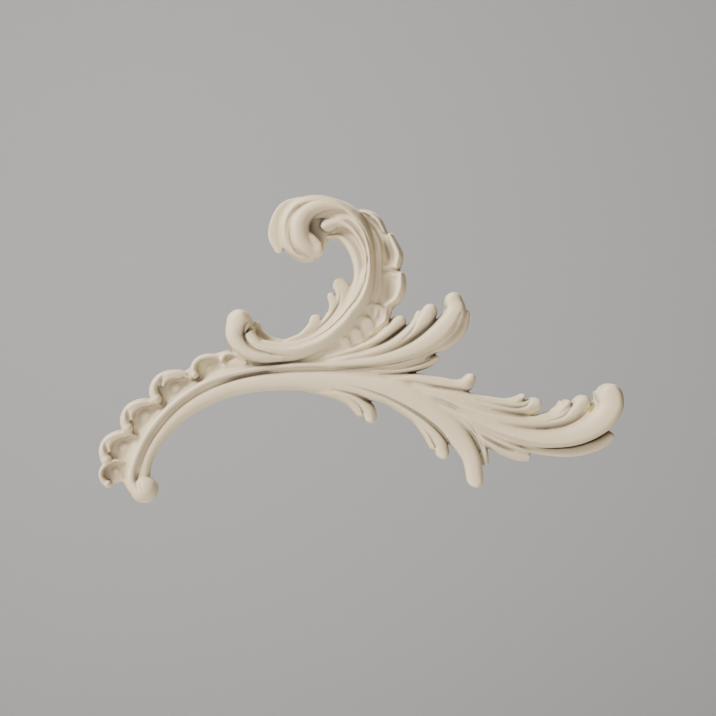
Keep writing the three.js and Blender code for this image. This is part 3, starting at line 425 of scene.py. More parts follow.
# marks drawn into the front: across, up, half width and depth, where a depth below 0 raises a
# vein; lean makes the left side of the mark wider (-) or the right side (+)
marks = {
    "ballGroove": {"spine": [
        [-42.59, -17.49, 0.38, 3], [-42.66, -18.82, 0.46, 5], [-42.47, -20.15, 0.42, 5],
        [-42.02, -21.1, 0.3, 1],
    ]},
    "ballNotch": {"spine": [
        [-41.75, -19.2, 0.27, 1], [-41.67, -20.15, 0.38, 3], [-41.14, -20.99, 0.27, 1],
    ], "lean": 0.3},
    "railGroove": {"spine": [
        [-42.51, -18.63, 0.38, 1], [-41.9, -15.59, 0.57, 3], [-40.42, -11.98, 0.57, 3],
        [-38.33, -8.94, 0.57, 3], [-35.55, -5.7, 0.57, 3], [-32.21, -3.23, 0.57, 3],
        [-28.14, -1.14, 0.57, 3], [-23.65, 0.3, 0.53, 3], [-18.82, 1.22, 0.49, 3],
        [-13.5, 1.71, 0.46, 3], [-8.17, 1.86, 0.38, 3], [-3.99, 2.02, 0.3, 1],
    ]},
    "bulbCrease": {"spine": [
        [-20.99, 11.6, 0.23, 1], [-21.77, 10.65, 0.34, 8], [-22.13, 9.13, 0.38, 10],
        [-21.56, 7.41, 0.38, 9], [-20.06, 5.97, 0.38, 7], [-17.68, 5.21, 0.34, 5],
        [-14.64, 4.75, 0.27, 2], [-12.74, 4.56, 0.19, 0],
    ], "lean": 0.3},
    "ridgeEdge": {"spine": [
        [-11.6, 6.96, 0.19, 2], [-7.6, 8.63, 0.23, 3], [-4.11, 11.44, 0.25, 4],
        [-2.17, 13.73, 0.25, 4], [-0.68, 15.59, 0.27, 4], [0.38, 17.68, 0.27, 3],
        [1.03, 20.34, 0.27, 3], [1.25, 23.19, 0.25, 2],
    ]},
    "twinCrease": {"spine": [
        [-2.85, 30.11, 0.27, 1], [-1.52, 29.35, 0.3, 3], [-0.11, 27.68, 0.32, 3],
        [0.91, 25.48, 0.3, 3], [1.41, 22.81, 0.29, 2], [1.33, 19.77, 0.23, 1],
    ]},
    "outerCrease": {"spine": [
        [-4.75, 31.9, 0.34, 1], [-2.85, 31.56, 0.34, 2], [-1.33, 30.68, 0.34, 2],
        [0.19, 29.01, 0.34, 2], [1.33, 26.69, 0.3, 3], [1.9, 24.33, 0.29, 2],
        [1.98, 22.05, 0.19, 1],
    ]},
    "voluteRidge": {"spine": [
        [-7.79, 33.95, 0.3, 1], [-10.46, 33.16, 0.38, 3], [-12.43, 31.18, 0.42, 4],
        [-13.23, 28.52, 0.42, 4], [-13, 26.05, 0.42, 4], [-11.79, 24.26, 0.42, 6],
        [-9.7, 23.27, 0.3, 2],
    ], "lean": 0.2},
    "firstPetalHollow": {"spine": [
        [0.95, 31.56, 0.46, 1], [1.9, 30.42, 0.87, 5], [2.97, 29.09, 0.91, 6],
        [3.61, 27.95, 0.57, 1],
    ]},
    "petalEdge": {"spine": [
        [4.37, 27, 0.57, 1], [5.21, 25.29, 1.03, 7], [5.48, 23.57, 1.06, 8], [5.25, 22.17, 0.76, 2],
    ]},
    "frillEdge": {"spine": [
        [2.28, 14.94, 0.3, -1], [1.22, 13.88, 0.36, -4], [0.46, 12.62, 0.32, -2],
        [-0.46, 11.52, 0.36, -4], [-1.6, 10.34, 0.32, -2], [-2.55, 9.28, 0.36, -4],
        [-4.18, 7.98, 0.32, -2], [-5.89, 6.73, 0.3, -2], [-8.56, 5.51, 0.23, -1],
    ]},
    "secondPetalHollow": {"spine": [
        [4.75, 27, 0.49, 1], [5.25, 25.29, 0.87, 5], [5.7, 23.76, 0.91, 5], [6.08, 22.43, 0.57, 1],
    ]},
    "petalGap": {"spine": [
        [3.99, 20.99, 0.3, 1], [5.7, 20.91, 0.36, 3], [7.79, 21.03, 0.42, 5],
    ]},
    "thirdPetalHollow": {"spine": [
        [5.51, 19.77, 0.76, 3], [5.59, 17.87, 1.22, 8], [5.32, 15.97, 1.06, 6],
        [4.75, 15.02, 0.65, 1],
    ]},
    "thirdPetalFold": {"spine": [
        [2.4, 14.26, 0.46, 1], [2.28, 13.12, 0.65, 5], [2.47, 11.98, 0.49, 1],
    ]},
    "fourthPetalFold": {"spine": [
        [3.8, 13.69, 0.46, 1], [3.54, 12.36, 0.68, 4], [2.85, 11.22, 0.46, 1],
    ]},
    "ruffleCrease": {"spine": [
        [4.75, 11.03, 0.27, 2], [3.61, 9.51, 0.53, 6], [1.9, 8.08, 0.46, 5], [-0.57, 6.65, 0.34, 3],
        [-2.85, 5.7, 0.23, 1],
    ]},
    "scrollFoot": {"spine": [
        [-23.76, 5.59, 0.27, 2], [-21.1, 3.88, 0.34, 5], [-17.3, 3.23, 0.34, 6],
        [-12.36, 3.61, 0.34, 5], [-8.17, 5.13, 0.34, 3], [-5.13, 6.92, 0.3, 1],
        [-3.23, 8.75, 0.27, 0],
    ]},
    "endCrease": {"spine": [
        [26.43, -8.37, 0.38, 1], [32.13, -9.18, 0.57, 5], [35.93, -9.13, 0.65, 6],
        [38.78, -8.56, 0.65, 6], [41.25, -7.32, 0.65, 6], [42.97, -5.7, 0.49, 4],
    ], "lean": -0.6},
    "middleCrease": {"spine": [
        [16.16, -3.61, 0.38, 1], [20.72, -4.94, 0.57, 4], [24.52, -5.97, 0.65, 6],
        [28.33, -6.58, 0.72, 7], [31.75, -6.77, 0.72, 8], [33.46, -6.65, 0.49, 5],
    ], "lean": -0.5},
    "upperCrease": {"spine": [
        [22.24, -3.69, 0.3, 2], [26.43, -4.75, 0.42, 6], [29.47, -5.21, 0.46, 8],
        [31.37, -4.87, 0.38, 6], [32.32, -3.99, 0.27, 3],
    ], "lean": -0.3},
    "middleSideCrease": {"spine": [
        [40.3, -3.99, 0.27, 4], [39.85, -5.32, 0.38, 6], [38.4, -6.84, 0.42, 5],
        [35.55, -7.79, 0.3, 2],
    ]},
    "crookCrease": {"spine": [
        [10.84, -0.57, 0.34, 1], [13.88, -1.29, 0.46, 3], [16.54, -1.67, 0.49, 5],
        [19.2, -1.94, 0.46, 5], [20.72, -2.17, 0.34, 4],
    ], "lean": -0.4},
    "droppedCrease": {"spine": [
        [-2.85, -0.76, 0.27, 1], [1.33, -1.9, 0.34, 5], [4.56, -2.97, 0.38, 7],
        [7.41, -4.33, 0.4, 8], [10.46, -6.05, 0.44, 10], [13.12, -7.87, 0.48, 11],
        [15.21, -9.77, 0.51, 13], [16.81, -11.79, 0.42, 12],
    ], "lean": 0.4},
    "hangingCrease": {"spine": [
        [-5.51, -1.71, 0.27, 2], [-2.09, -2.36, 0.34, 6], [-0.19, -3, 0.42, 9],
        [1.52, -3.92, 0.46, 10], [2.47, -4.66, 0.3, 6],
    ], "lean": 0.3},
    "hangingNotch": {"spine": [
        [-3.99, -2.85, 0.27, 1], [-1.71, -3.73, 0.34, 5], [-0.19, -4.83, 0.38, 7],
        [0.49, -6.08, 0.34, 7],
    ]},
    "droppedNotch": {"spine": [
        [11.22, -8.17, 0.3, 1], [13.12, -10.46, 0.38, 5], [14.26, -12.74, 0.38, 7],
    ]},
    "spurCrease": {"spine": [
        [18.06, -5.7, 0.38, 1], [19.96, -7.6, 0.46, 2], [21.86, -9.89, 0.49, 3],
        [23, -12.17, 0.42, 3], [23.46, -14.26, 0.3, 2],
    ]},
    "lowerCrease": {"spine": [
        [21.48, -9.51, 0.3, 2], [24.14, -11.22, 0.38, 6], [26.81, -12.62, 0.38, 6],
        [29.09, -13.42, 0.3, 2],
    ]},
    "trunkStep": {"spine": [
        [19.96, -7.22, 0.33, 1], [22.62, -8.75, 0.5, 6], [26.43, -10.53, 0.59, 9],
        [30.23, -11.71, 0.63, 11], [34.03, -12.51, 0.63, 11], [37.83, -12.66, 0.63, 11],
        [41.63, -12.09, 0.63, 11], [45.06, -10.84, 0.54, 9], [46.96, -9.7, 0.42, 6],
    ], "lean": -0.2},
    "fanStep": {"spine": [
        [-4.75, 2.21, 0.3, 2], [-0.19, 2.51, 0.38, 5], [4.56, 3.04, 0.46, 7], [8.94, 4.07, 0.53, 9],
        [12.74, 5.51, 0.57, 9], [15.59, 7.49, 0.57, 9], [17.68, 10.08, 0.53, 7],
        [19.01, 12.74, 0.38, 4],
    ], "lean": -0.2},
    "firstGap": {"spine": [
        [-3.99, 4.56, 0.33, 1], [-0.19, 5.59, 0.42, 3], [3.61, 6.96, 0.59, 5],
        [6.27, 8.48, 0.67, 7], [8.17, 9.96, 0.5, 7],
    ], "lean": -0.5},
    "secondGap": {"spine": [
        [-2.09, 3.92, 0.38, 2], [2.66, 4.64, 0.46, 3], [7.03, 6.08, 0.59, 5],
        [10.27, 7.87, 0.67, 7], [12.74, 9.96, 0.67, 8], [14.45, 11.67, 0.54, 7],
    ], "lean": -0.5},
    "secondNotch": {"spine": [
        [7.41, 7.22, 0.33, 1], [9.32, 8.94, 0.42, 3], [10.57, 10.91, 0.42, 3],
        [11.29, 12.93, 0.29, 2],
    ]},
    "underLobeCrease": {"spine": [
        [4.56, 1.9, 0.27, 2], [7.79, 2.28, 0.34, 5], [10.84, 2.97, 0.34, 6], [13.12, 3.92, 0.27, 3],
    ]},
    "trunkTop": {"spine": [
        [3.61, 1.06, 0.23, 2], [7.03, 1.22, 0.27, 6], [9.7, 1.44, 0.29, 6], [11.6, 1.71, 0.23, 4],
    ]},
    "lowVein": {"spine": [
        [-3.8, 16.73, 0.27, 1], [-4.18, 14.45, 0.42, 3], [-6.08, 11.6, 0.42, 3],
        [-8.94, 8.94, 0.27, 1],
    ]},
}

# shells along the arch: radius in hundredths of the width, the degrees that the rim turns between,
# how far round the hooked curl reaches, and the direction of the eye
shells = [
    {"middle": (-47.05, -17.97), "radius": 3.04, "start": 45, "end": 240, "hook": 0, "eye": 60},
    {"middle": (-45.82, -13.69), "radius": 4.3, "start": 36, "end": 212, "hook": 132, "eye": 50},
    {"middle": (-41.63, -7.79), "radius": 4.45, "start": 35, "end": 207, "hook": 127, "eye": 62},
    {"middle": (-36.12, -2.28), "radius": 4.45, "start": 30, "end": 206, "hook": 104, "eye": 44},
    {"middle": (-29.28, 1.71), "radius": 3.5, "start": 34, "end": 196, "hook": 0, "eye": 50},
]
# rolled rim, hooked curl and the crease between them: share of the turn, then reach, half width
# and crest or depth, with reach and half width as shares of the shell's radius
shellRim = [
    (0, 1.06, 0.13, 34), (0.16, 0.9, 0.155, 44), (0.34, 0.79, 0.18, 53), (0.54, 0.79, 0.19, 56),
    (0.71, 0.77, 0.21, 56), (0.865, 0.72, 0.26, 56), (0.97, 0.69, 0.285, 55),
]
shellCurl = [
    (0.22, 0.8, 0.1, 44), (0.48, 0.69, 0.15, 51), (0.7, 0.63, 0.17, 54), (0.86, 0.56, 0.17, 53),
    (0.97, 0.48, 0.14, 51),
]
shellCrease = [
    (0.72, 0.86, 0.09, 1), (0.84, 0.76, 0.1, 3), (0.95, 0.66, 0.1, 4), (1.06, 0.58, 0.09, 3),
]
# domes of a shell, in the order they are made: the height is in metres
shellDomes = {
    "sill": {"reach": 0.63, "radius": 0.23, "height": 0.0074, "edge": 0.7},
    "bowl": {"reach": 0, "radius": 0.62, "height": 0.0045, "edge": 0.9},
    "eye": {"reach": 0.24, "radius": 0.33, "height": 0.0053, "edge": 0.7},
    "knob": {"reach": 0.685, "radius": 0.3, "height": 0.0091, "edge": 0.55},
}
knobBefore = 2  # degrees between the knob and the end of the rim

ball = {"place": (-41.35, -20.9), "diameter": 0.014, "height": 0.0096, "edge": 0.5}


def smoothLine(rows, samples):
    # centripetal Catmull-Rom through the rows' places, the other columns eased along with them
    leastGap = 1e-6  # two places may coincide
    rows = np.array(rows, float)
    first, last = 2 * rows[0] - rows[1], 2 * rows[-1] - rows[-2]
    rows = np.vstack([first, rows, last])
    gaps = np.maximum(np.hypot(*np.diff(rows[:, :2], axis=0).T) ** 0.5, leastGap)
    t = np.linspace(0, len(rows) - 3, samples)
    i = np.minimum(t.astype(int), len(rows) - 4)
    w = (t - i)[:, None]
    p0, p1, p2, p3 = (rows[i + k] for k in range(4))
    d0, d1, d2 = (gaps[i + k][:, None] for k in range(3))
    leave = ((p1 - p0) / d0 - (p2 - p0) / (d0 + d1) + (p2 - p1) / d1) * d1
    arrive = ((p2 - p1) / d1 - (p3 - p1) / (d1 + d2) + (p3 - p2) / d2) * d1
    bend = (-3 * p1 + 3 * p2 - 2 * leave - arrive) * w**2
    return p1 + leave * w + bend + (2 * p1 - 2 * p2 + leave + arrive) * w**3


def stationsAlong(form):
    # evenly spaced stations in metres, with a rounded tip past the last one
    rows = [list(row) + ([form["height"]] if "height" in form else []) for row in form["spine"]]
    fine = smoothLine(rows, casting["lineSamples"])
    fine[:, :3] *= wide
    if "height" not in form:
        fine[:, 3] *= deep
    length = np.concatenate([[0], np.cumsum(np.hypot(*np.diff(fine[:, :2], axis=0).T))])
    count = max(casting["leastStations"], int(length[-1] / casting["stationPitch"]))
    even = np.linspace(0, length[-1], count)
    line = np.array([np.interp(even, length, column) for column in fine.T]).T
    heading = np.gradient(line[:, :2], axis=0)
    heading /= np.hypot(*heading.T)[:, None]
    stations = np.hstack([line, heading, np.ones((count, 1))])

    def tip(station, way):
        turns = np.linspace(0, casting["tipTurn"], casting["tipSteps"] + 1)[1:]
        turns = np.radians(turns)[:, None]
        rows = np.repeat(station[None], len(turns), axis=0)
        rows[:, :2] += way * station[4:6] * station[2] * np.sin(turns)
        rows[:, 2:3] *= np.cos(turns)
        rows[:, 6:7] = np.cos(turns)
        return rows

    parts = [stations, tip(stations[-1], 1)]
    if form.get("roundTail"):
        parts.insert(0, tip(stations[0], -1)[::-1])
    return np.vstack(parts)


def sweep(form):
    # a crowned section swept along the form's line
    lean, fullness, edge = form.get("lean", 0), form.get("fullness", 2), form.get("edge", 0.5)
    stations = stationsAlong(form)
    q = -np.cos(np.linspace(0, math.pi, casting["sectionCuts"] + 1))
    offset = lean + q * np.where(q < 0, 1 + lean, 1 - lean)
    rise = (1 - np.abs(q) ** fullness) ** (1 / fullness)
    x, z, half, crest, headX, headZ, narrowing = (column[:, None] for column in stations.T)
    reach = np.maximum(half - casting["wallDraft"] * narrowing, half * casting["leastHalf"])
    roll = np.sqrt(1 - (1 - narrowing) ** 2)
    across = np.hstack([-half, offset * reach, half])
    behind = np.full_like(half, casting["behindBack"])
    depth = np.hstack([behind, -crest * (edge + (1 - edge) * roll * rise), behind])
    verts = np.stack([x + headZ * across, depth, z - headX * across], axis=2)
    rings, size = across.shape
    here = np.arange(rings - 1)[:, None] * size
    k = np.arange(size)[None]
    nextK = (k + 1) % size
    corners = [here + k, here + nextK, here + size + nextK, here + size + k]
    quads = np.stack(corners, axis=2).reshape(-1, 4)
    caps = [list(range(size))[::-1], list(range((rings - 1) * size, rings * size))]
    return verts.reshape(-1, 3), quads.tolist() + caps


def dome(place, radius, height, edge):
    sides, steps = casting["domeSides"], casting["domeSteps"]
    turns = np.linspace(0, math.pi / 2, steps + 1)[:-1]
    out = np.concatenate([[radius], (radius - casting["wallDraft"]) * np.cos(turns)])
    crown = height * (edge + (1 - edge) * np.sin(turns))
    rise = np.concatenate([[-casting["behindBack"]], crown])
    around = np.linspace(0, 2 * math.pi, sides, endpoint=False)
    x = place[0] * wide + out[:, None] * np.cos(around)
    z = place[1] * wide + out[:, None] * np.sin(around)
    verts = np.stack([x, np.repeat(-rise[:, None], sides, axis=1), z], axis=2).reshape(-1, 3)
    faces = []
    for ring in range(len(out) - 1):
        for k in range(sides):
            a, b = ring * sides + k, ring * sides + (k + 1) % sides
            faces.append([a, b, b + sides, a + sides])
    faces.append(list(range(sides))[::-1])
    faces.append(list(range((len(out) - 1) * sides, len(out) * sides)))
    return verts, faces


def shellRow(shell, degrees, reach, half=0, crest=0):
    # a place on the shell in polar form
    turn = math.radians(degrees)
    radius = shell["radius"]
    across, up = shell["middle"]
    place = (across + radius * reach * math.cos(turn), up + radius * reach * math.sin(turn))
    return (*place, radius * half, crest)


def shellLine(shell, rows, turn):
    start = shell["start"]
    return {"spine": [shellRow(shell, start + turn * share, *rest) for share, *rest in rows]}


def shellForms(shell):
    parts = [sweep(shellLine(shell, shellRim, shell["end"] - shell["start"]))]
    degrees = {"bowl": 0, "eye": shell["eye"], "knob": shell["end"] - knobBefore}
    if shell["hook"]:
        parts.append(sweep(shellLine(shell, shellCurl, shell["hook"])))
        degrees["sill"] = shell["start"] + shell["hook"]
    for name, form in shellDomes.items():
        if name in degrees:
            place = shellRow(shell, degrees[name], form["reach"])
            radius = shell["radius"] * wide * form["radius"]
            parts.append(dome(place, radius, form["height"], form["edge"]))
    return parts


def meshFrom(name, parts):
    verts, faces, start = [], [], 0
    for partVerts, partFaces in parts:
        verts.append(partVerts)
        faces += [[start + corner for corner in face] for face in partFaces]
        start += len(partVerts)
    mesh = bpy.data.meshes.new(name)
    mesh.from_pydata(np.vstack(verts).tolist(), [], faces)
    return mesh


def addObject(name, data):
    piece = bpy.data.objects.new(name, data)
    bpy.context.collection.objects.link(piece)
    return piece


def applied(piece):
    # the piece's mesh with its modifiers worked in
    view = bpy.context.evaluated_depsgraph_get()
    mesh = bpy.data.meshes.new_from_object(piece.evaluated_get(view))
    old = piece.data
    piece.modifiers.clear()
    piece.data = mesh
    bpy.data.meshes.remove(old)
    return mesh


def vertexPlaces(mesh):
    places = np.empty(len(mesh.vertices) * 3)
    mesh.vertices.foreach_get("co", places)
    return places.reshape(-1, 3)


def setPlaces(mesh, places):
    mesh.vertices.foreach_set("co", places.ravel())
    mesh.update()


def meanAround(mesh):
    # gives the function that takes each vertex's mean over its neighbours
    ends = np.empty(len(mesh.edges) * 2, np.int32)
    mesh.edges.foreach_get("vertices", ends)
    a, b = ends.reshape(-1, 2).T
    count = len(mesh.vertices)
    near = np.bincount(a, minlength=count) + np.bincount(b, minlength=count)

    def mean(values):
        return (np.bincount(a, values[b], count) + np.bincount(b, values[a], count)) / near

    return mean


def soften(mesh, rounds):
    places = vertexPlaces(mesh)
    mean = meanAround(mesh)
    for _ in range(rounds):
        for axis in range(3):
            line = places[:, axis]
            places[:, axis] = line + casting["softenShare"] * (mean(line) - line)
    setPlaces(mesh, places)


def fillValleys(mesh, rounds):
    # only ever raises the surface, so crests stay where they are and valleys get round bottoms
    places = vertexPlaces(mesh)
    mean = meanAround(mesh)
    front = places[:, 1] < -casting["fillFrom"]
    depth = places[:, 1].copy()
    for _ in range(rounds):
        around = mean(depth)
        filled = depth + casting["fillShare"] * (around - depth)
        depth = np.where(front & (around < depth), filled, depth)
    places[:, 1] = depth
    setPlaces(mesh, places)


def carve(mesh, drawn):
    places = vertexPlaces(mesh)
    front = places[:, 1] < -casting["markFrom"]
    for mark in drawn:
        line = smoothLine(mark["spine"], casting["markSamples"])
        line[:, :3] *= wide
        line[:, 3] *= deep
        ends = line[:, :2]
        margin = casting["markMargin"] * line[:, 2].max()
        low, high = ends.min(axis=0) - margin, ends.max(axis=0) + margin
        inside = front & (places[:, 0] > low[0]) & (places[:, 0] < high[0])
        near = np.flatnonzero(inside & (places[:, 2] > low[1]) & (places[:, 2] < high[1]))
        away = places[near][:, [0, 2]][:, None] - ends[None]
        distance = np.hypot(away[..., 0], away[..., 1])
        closest = distance.argmin(axis=1)
        pick = np.arange(len(near))
        heading = np.gradient(ends, axis=0)[closest]
        awayX, awayZ = away[pick, closest].T
        side = np.sign(heading[:, 1] * awayX - heading[:, 0] * awayZ)
        half = line[closest, 2] * (1 + side * mark.get("lean", 0))
        profile = np.clip(1 - (distance[pick, closest] / half) ** 2, 0, 1) ** 2
        cut = places[near, 1] + line[closest, 3] * profile
        places[near, 1] = np.minimum(cut, -casting["markFloor"])
    setPlaces(mesh, places)


def castOnlay():
    groups = [arch, fan, spray, scroll, blade, petals, ground]
    parts = [sweep(form) for group in groups for form in group.values()]
    for shell in shells:
        parts += shellForms(shell)
    parts.append(dome(ball["place"], ball["diameter"] / 2, ball["height"], ball["edge"]))
    piece = addObject("onlay_casting", meshFrom("onlay_casting", parts))
    print("forms swept:", len(parts))

    join = piece.modifiers.new("join", "REMESH")
    join.mode = "VOXEL"
    join.voxel_size = casting["voxel"]
    mesh = applied(piece)
    print("joined:", len(mesh.polygons), "faces")
    fillValleys(mesh, casting["fillRounds"])
    soften(mesh, casting["softenRounds"])
    hooked = [shell for shell in shells if shell["hook"]]
    drawn = [*marks.values(), *(shellLine(shell, shellCrease, shell["hook"]) for shell in hooked)]
    carve(mesh, drawn)
    soften(mesh, casting["lastSoftening"])
    print("marks drawn:", len(drawn))

    reach = casting["sawReach"]
    blank = boxPart((-reach, 0, -reach), (reach, casting["sawThickness"], reach))
    saw = addObject("saw", meshFrom("saw", [blank]))
    cut = piece.modifiers.new("flat back", "BOOLEAN")
    cut.operation = "DIFFERENCE"
    cut.solver = "MANIFOLD"
    cut.object = saw
    mesh = applied(piece)
    bpy.data.objects.remove(saw)
    print("sawn:", len(mesh.polygons), "faces")

    mesh.calc_loop_triangles()
    thin = piece.modifiers.new("thin out", "DECIMATE")
    thin.ratio = casting["faces"] / len(mesh.loop_triangles)
    thin.use_collapse_triangulate = True
    mesh = applied(piece)
    print("thinned:", len(mesh.polygons), "faces")
    fitToFrame(mesh)
    sharpenBack(mesh)
    return piece


def boxPart(low, high):
    xs, ys, zs = zip(low, high)
    corners = [(x, y, z) for x in xs for y in ys for z in zs]
    faces = [[0, 1, 3, 2], [4, 6, 7, 5], [0, 4, 5, 1], [2, 3, 7, 6], [0, 2, 6, 4], [1, 5, 7, 3]]
    return np.array(corners, float), faces


def fitToFrame(mesh):
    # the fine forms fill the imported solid's box exactly
    places = vertexPlaces(mesh)
    low, high = places.min(axis=0), places.max(axis=0)
    print("before fitting:", np.round((high - low) * 1000, 2).tolist(), "mm")
    setPlaces(mesh, boxLow + (places - low) * (boxHigh - boxLow) / (high - low))


def sharpenBack(mesh):
    # smooth all over, but with a crisp edge round the sawn back
    mesh.polygons.foreach_set("use_smooth", np.ones(len(mesh.polygons), bool))
    normals = np.empty(len(mesh.polygons) * 3)
    mesh.polygons.foreach_get("normal", normals)
    onBack = normals.reshape(-1, 3)[:, 1] > casting["backFacing"]
    faceEdges = np.empty(len(mesh.loops), np.int32)
    mesh.loops.foreach_get("edge_index", faceEdges)
    loopTotals = np.empty(len(mesh.polygons), np.int32)
    mesh.polygons.foreach_get("loop_total", loopTotals)
    loopOnBack = np.repeat(onBack, loopTotals)
    backUses = np.bincount(faceEdges[loopOnBack], minlength=len(mesh.edges))
    mesh.edges.foreach_set("use_edge_sharp", backUses == 1)
    mesh.update()


# satin ivory primer on polyurethane, with painted shade darkening its hollows and creases, a
# painted highlight along its crests and a yellow tint round a few listed deep creases
primer = {
    "light": (0.87, 0.70, 0.44, 1),
    # painted shade: the colour the primer is darkened to where walls close round it
    "shade": (0.22, 0.185, 0.14, 1),
    # painted highlight: the paler colour laid along sharp crests
    "crest": (0.94, 0.80, 0.55, 1),
    "yellow": (0.96, 0.85, 0.46, 1),
    "hollowReach": 0.009,  # how far round a place is felt for walls that cast the painted shade, and with how many rays
    "hollowRays": 8,
    "shadeSpan": (0.34, 1),  # openness that takes the primer from painted shade to light
    "highlightSpan": (0.505, 0.56),
    "highlightShare": 0.7,
    "cloudSize": 45,
    "cloudDetail": 3,
    "cloudShare": 0.16,
    "tintSpan": (0.6, 1),
    "tintShare": 0.9,
    "yellowSpots": [  # across, up, reach
        (3.4, 9.5, 2.6), (0.6, 6.9, 2.4), (33, -6.3, 2.8), (43.4, -5.4, 2.6), (-29.5, 2, 2.4),
        (3, 23.5, 2.4),
    ],
    "spotHeight": 0.006,
    "spotCore": 0.2,  # share of a spot's reach that is yellow all through
    "specular": 0.35,
    "roughness": 0.48,
    "hollowRoughness": 0.25,
    "grainRoughness": 0.06,
    "grainSize": 1700,
    "grainDetail": 2,
    "grainStrength": 0.5,
    "grainDepth": 0.00004,
}


def primerMaterial():
    material = bpy.data.materials.new("ivory_primer")
    material.use_nodes = True
    nodes, links = material.node_tree.nodes, material.node_tree.links
    surface = nodes["Principled BSDF"]
    surface.inputs["Specular IOR Level"].default_value = primer["specular"]
    place = nodes.new("ShaderNodeTexCoord").outputs["Object"]

    def feed(socket, value):
        if isinstance(value, (int, float, tuple)):
            socket.default_value = value
        else:
            links.new(value, socket)

    def reckon(operation, first, second, clamp=False):
        node = nodes.new("ShaderNodeMath")
        node.operation = operation
        node.use_clamp = clamp
        feed(node.inputs[0], first)
        feed(node.inputs[1], second)
        return node.outputs[0]

    def spread(value, low, high):
        node = nodes.new("ShaderNodeMapRange")
        node.interpolation_type = "SMOOTHSTEP"
        feed(node.inputs["Value"], value)
        feed(node.inputs["From Min"], low)
        feed(node.inputs["From Max"], high)
        return node.outputs["Result"]

    def blend(share, below, above):
        node = nodes.new("ShaderNodeMix")
        node.data_type = "RGBA"
        feed(node.inputs[0], share)
        feed(node.inputs[6], below)
        feed(node.inputs[7], above)
        return node.outputs[2]

    def noise(size, detail):
        node = nodes.new("ShaderNodeTexNoise")
        feed(node.inputs["Scale"], size)
        feed(node.inputs["Detail"], detail)
        feed(node.inputs["Vector"], place)
        return node.outputs["Fac"]

    hollow = nodes.new("ShaderNodeAmbientOcclusion")
    hollow.samples = primer["hollowRays"]
    feed(hollow.inputs["Distance"], primer["hollowReach"])
    pointiness = nodes.new("ShaderNodeNewGeometry").outputs["Pointiness"]
    clouds = reckon("SUBTRACT", noise(primer["cloudSize"], primer["cloudDetail"]), 0.5)
    clouds = reckon("MULTIPLY", clouds, primer["cloudShare"])
    # painted shade: the AO darkens the primer towards the shade colour in hollows, creases and
    # beside walls
    openness = reckon("ADD", spread(hollow.outputs["AO"], *primer["shadeSpan"]), clouds, True)
    colour = blend(openness, primer["shade"], primer["light"])
    # painted highlight: sharp crests, found by their pointiness, are lightened towards the crest
    # colour
    crest = reckon("MULTIPLY", spread(pointiness, *primer["highlightSpan"]), primer["highlightShare"])
    colour = blend(crest, colour, primer["crest"])

    # a yellow tint round the listed spots, strongest where the AO finds the surface closed in
    near = None
    for across, up, reach in primer["yellowSpots"]:
        away = nodes.new("ShaderNodeVectorMath")
        away.operation = "DISTANCE"
        feed(away.inputs[0], place)
        feed(away.inputs[1], (across * wide, -primer["spotHeight"], up * wide))
        spot = spread(away.outputs["Value"], reach * wide, primer["spotCore"] * reach * wide)
        near = spot if near is None else reckon("MAXIMUM", near, spot)
    closed = reckon("SUBTRACT", 1, spread(hollow.outputs["AO"], *primer["tintSpan"]), True)
    tint = reckon("MULTIPLY", reckon("MULTIPLY", near, closed), primer["tintShare"])
    feed(surface.inputs["Base Color"], blend(tint, colour, primer["yellow"]))

    grain = noise(primer["grainSize"], primer["grainDetail"])
    matt = reckon("MULTIPLY", reckon("SUBTRACT", 1, openness), primer["hollowRoughness"])
    rough = reckon("ADD", primer["roughness"], matt)
    rough = reckon("ADD", rough, reckon("MULTIPLY", grain, primer["grainRoughness"]))
    feed(surface.inputs["Roughness"], rough)
    bump = nodes.new("ShaderNodeBump")
    feed(bump.inputs["Strength"], primer["grainStrength"])
    feed(bump.inputs["Distance"], primer["grainDepth"])
    feed(bump.inputs["Height"], grain)
    feed(surface.inputs["Normal"], bump.outputs["Normal"])
    return material


# pale floor and a pale backdrop, both well clear of the onlay
room = {
    "size": 6,
    "wallBehind": 1.6,
    "floorBelow": 0.6,
    "colour": (0.72, 0.71, 0.69, 1),
    "roughness": 0.9,
}


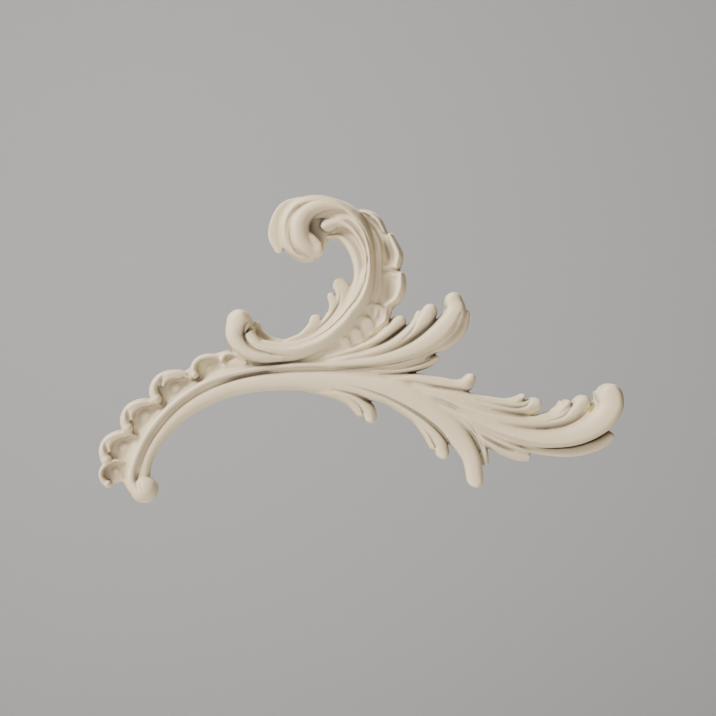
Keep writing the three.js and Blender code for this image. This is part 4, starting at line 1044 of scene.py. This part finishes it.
def buildRoom():
    material = bpy.data.materials.new("pale_room")
    material.use_nodes = True
    surface = material.node_tree.nodes["Principled BSDF"]
    surface.inputs["Base Color"].default_value = room["colour"]
    surface.inputs["Roughness"].default_value = room["roughness"]
    half = room["size"] / 2
    wallY = boxHigh[1] + room["wallBehind"]
    low = -room["floorBelow"]
    wall = [(-half, wallY, low), (half, wallY, low), (half, wallY, half), (-half, wallY, half)]
    floor = [(-half, -half, low), (half, -half, low), (half, wallY, low), (-half, wallY, low)]
    for name, corners in (("wall", wall), ("floor", floor)):
        plane = addObject(name, meshFrom(name, [(np.array(corners, float), [[0, 1, 2, 3]])]))
        plane.data.materials.append(material)


# soft boxes; the one behind the onlay points along -Y, so it leaves the wall alone
lights = {
    "key": {"place": (-0.98, -0.56, 0.91), "target": (0, 0, 0.02), "size": 0.35, "watts": 40},
    "fill": {"place": (-0.36, -1.25, 0.55), "target": (0, 0, 0.02), "size": 0.45, "watts": 5.4},
    "low": {"place": (0.04, -0.42, -0.52), "target": (0.04, 0, 0), "size": 0.3, "watts": 1.9},
    "behind": {"place": (0.6, 1.2, 0.9), "target": (0.6, 0, 0.9), "size": 0.8, "watts": 12},
}
worldLight = {"colour": (1, 0.99, 0.97, 1), "strength": 0.03}


def addLights():
    for name, light in lights.items():
        lamp = bpy.data.lights.new(name, "AREA")
        lamp.size = light["size"]
        lamp.energy = light["watts"]
        holder = addObject(name, lamp)
        holder.location = light["place"]
        aim(holder, light["target"])
    world = bpy.data.worlds.new("room light")
    world.use_nodes = True
    glow = world.node_tree.nodes["Background"]
    glow.inputs["Color"].default_value = worldLight["colour"]
    glow.inputs["Strength"].default_value = worldLight["strength"]
    bpy.context.scene.world = world


# straight on, level with the middle of the photograph
camera = {
    "place": (-0.0015, -0.756, 0.011),
    "target": (-0.0015, 0, 0.011),
    "frameWidth": 0.358,
    "distance": 0.75,  # to the plane where the frame has that width
    "clipStart": 0.01,
}


def aim(holder, target):
    way = Vector(target) - holder.location
    holder.rotation_euler = way.to_track_quat("-Z", "Y").to_euler()


def addCamera():
    lens = bpy.data.cameras.new("camera")
    lens.sensor_fit = "HORIZONTAL"
    lens.angle = 2 * math.atan(camera["frameWidth"] / 2 / camera["distance"])
    lens.clip_start = camera["clipStart"]
    holder = addObject("camera", lens)
    holder.location = camera["place"]
    aim(holder, camera["target"])
    bpy.context.scene.camera = holder


addCamera()
onlay = castOnlay()
onlay.data.materials.clear()
onlay.data.materials.append(primerMaterial())
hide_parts(nodeName)
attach(onlay, "root")
print("primer laid")
buildRoom()
addLights()
print("room and lights placed")
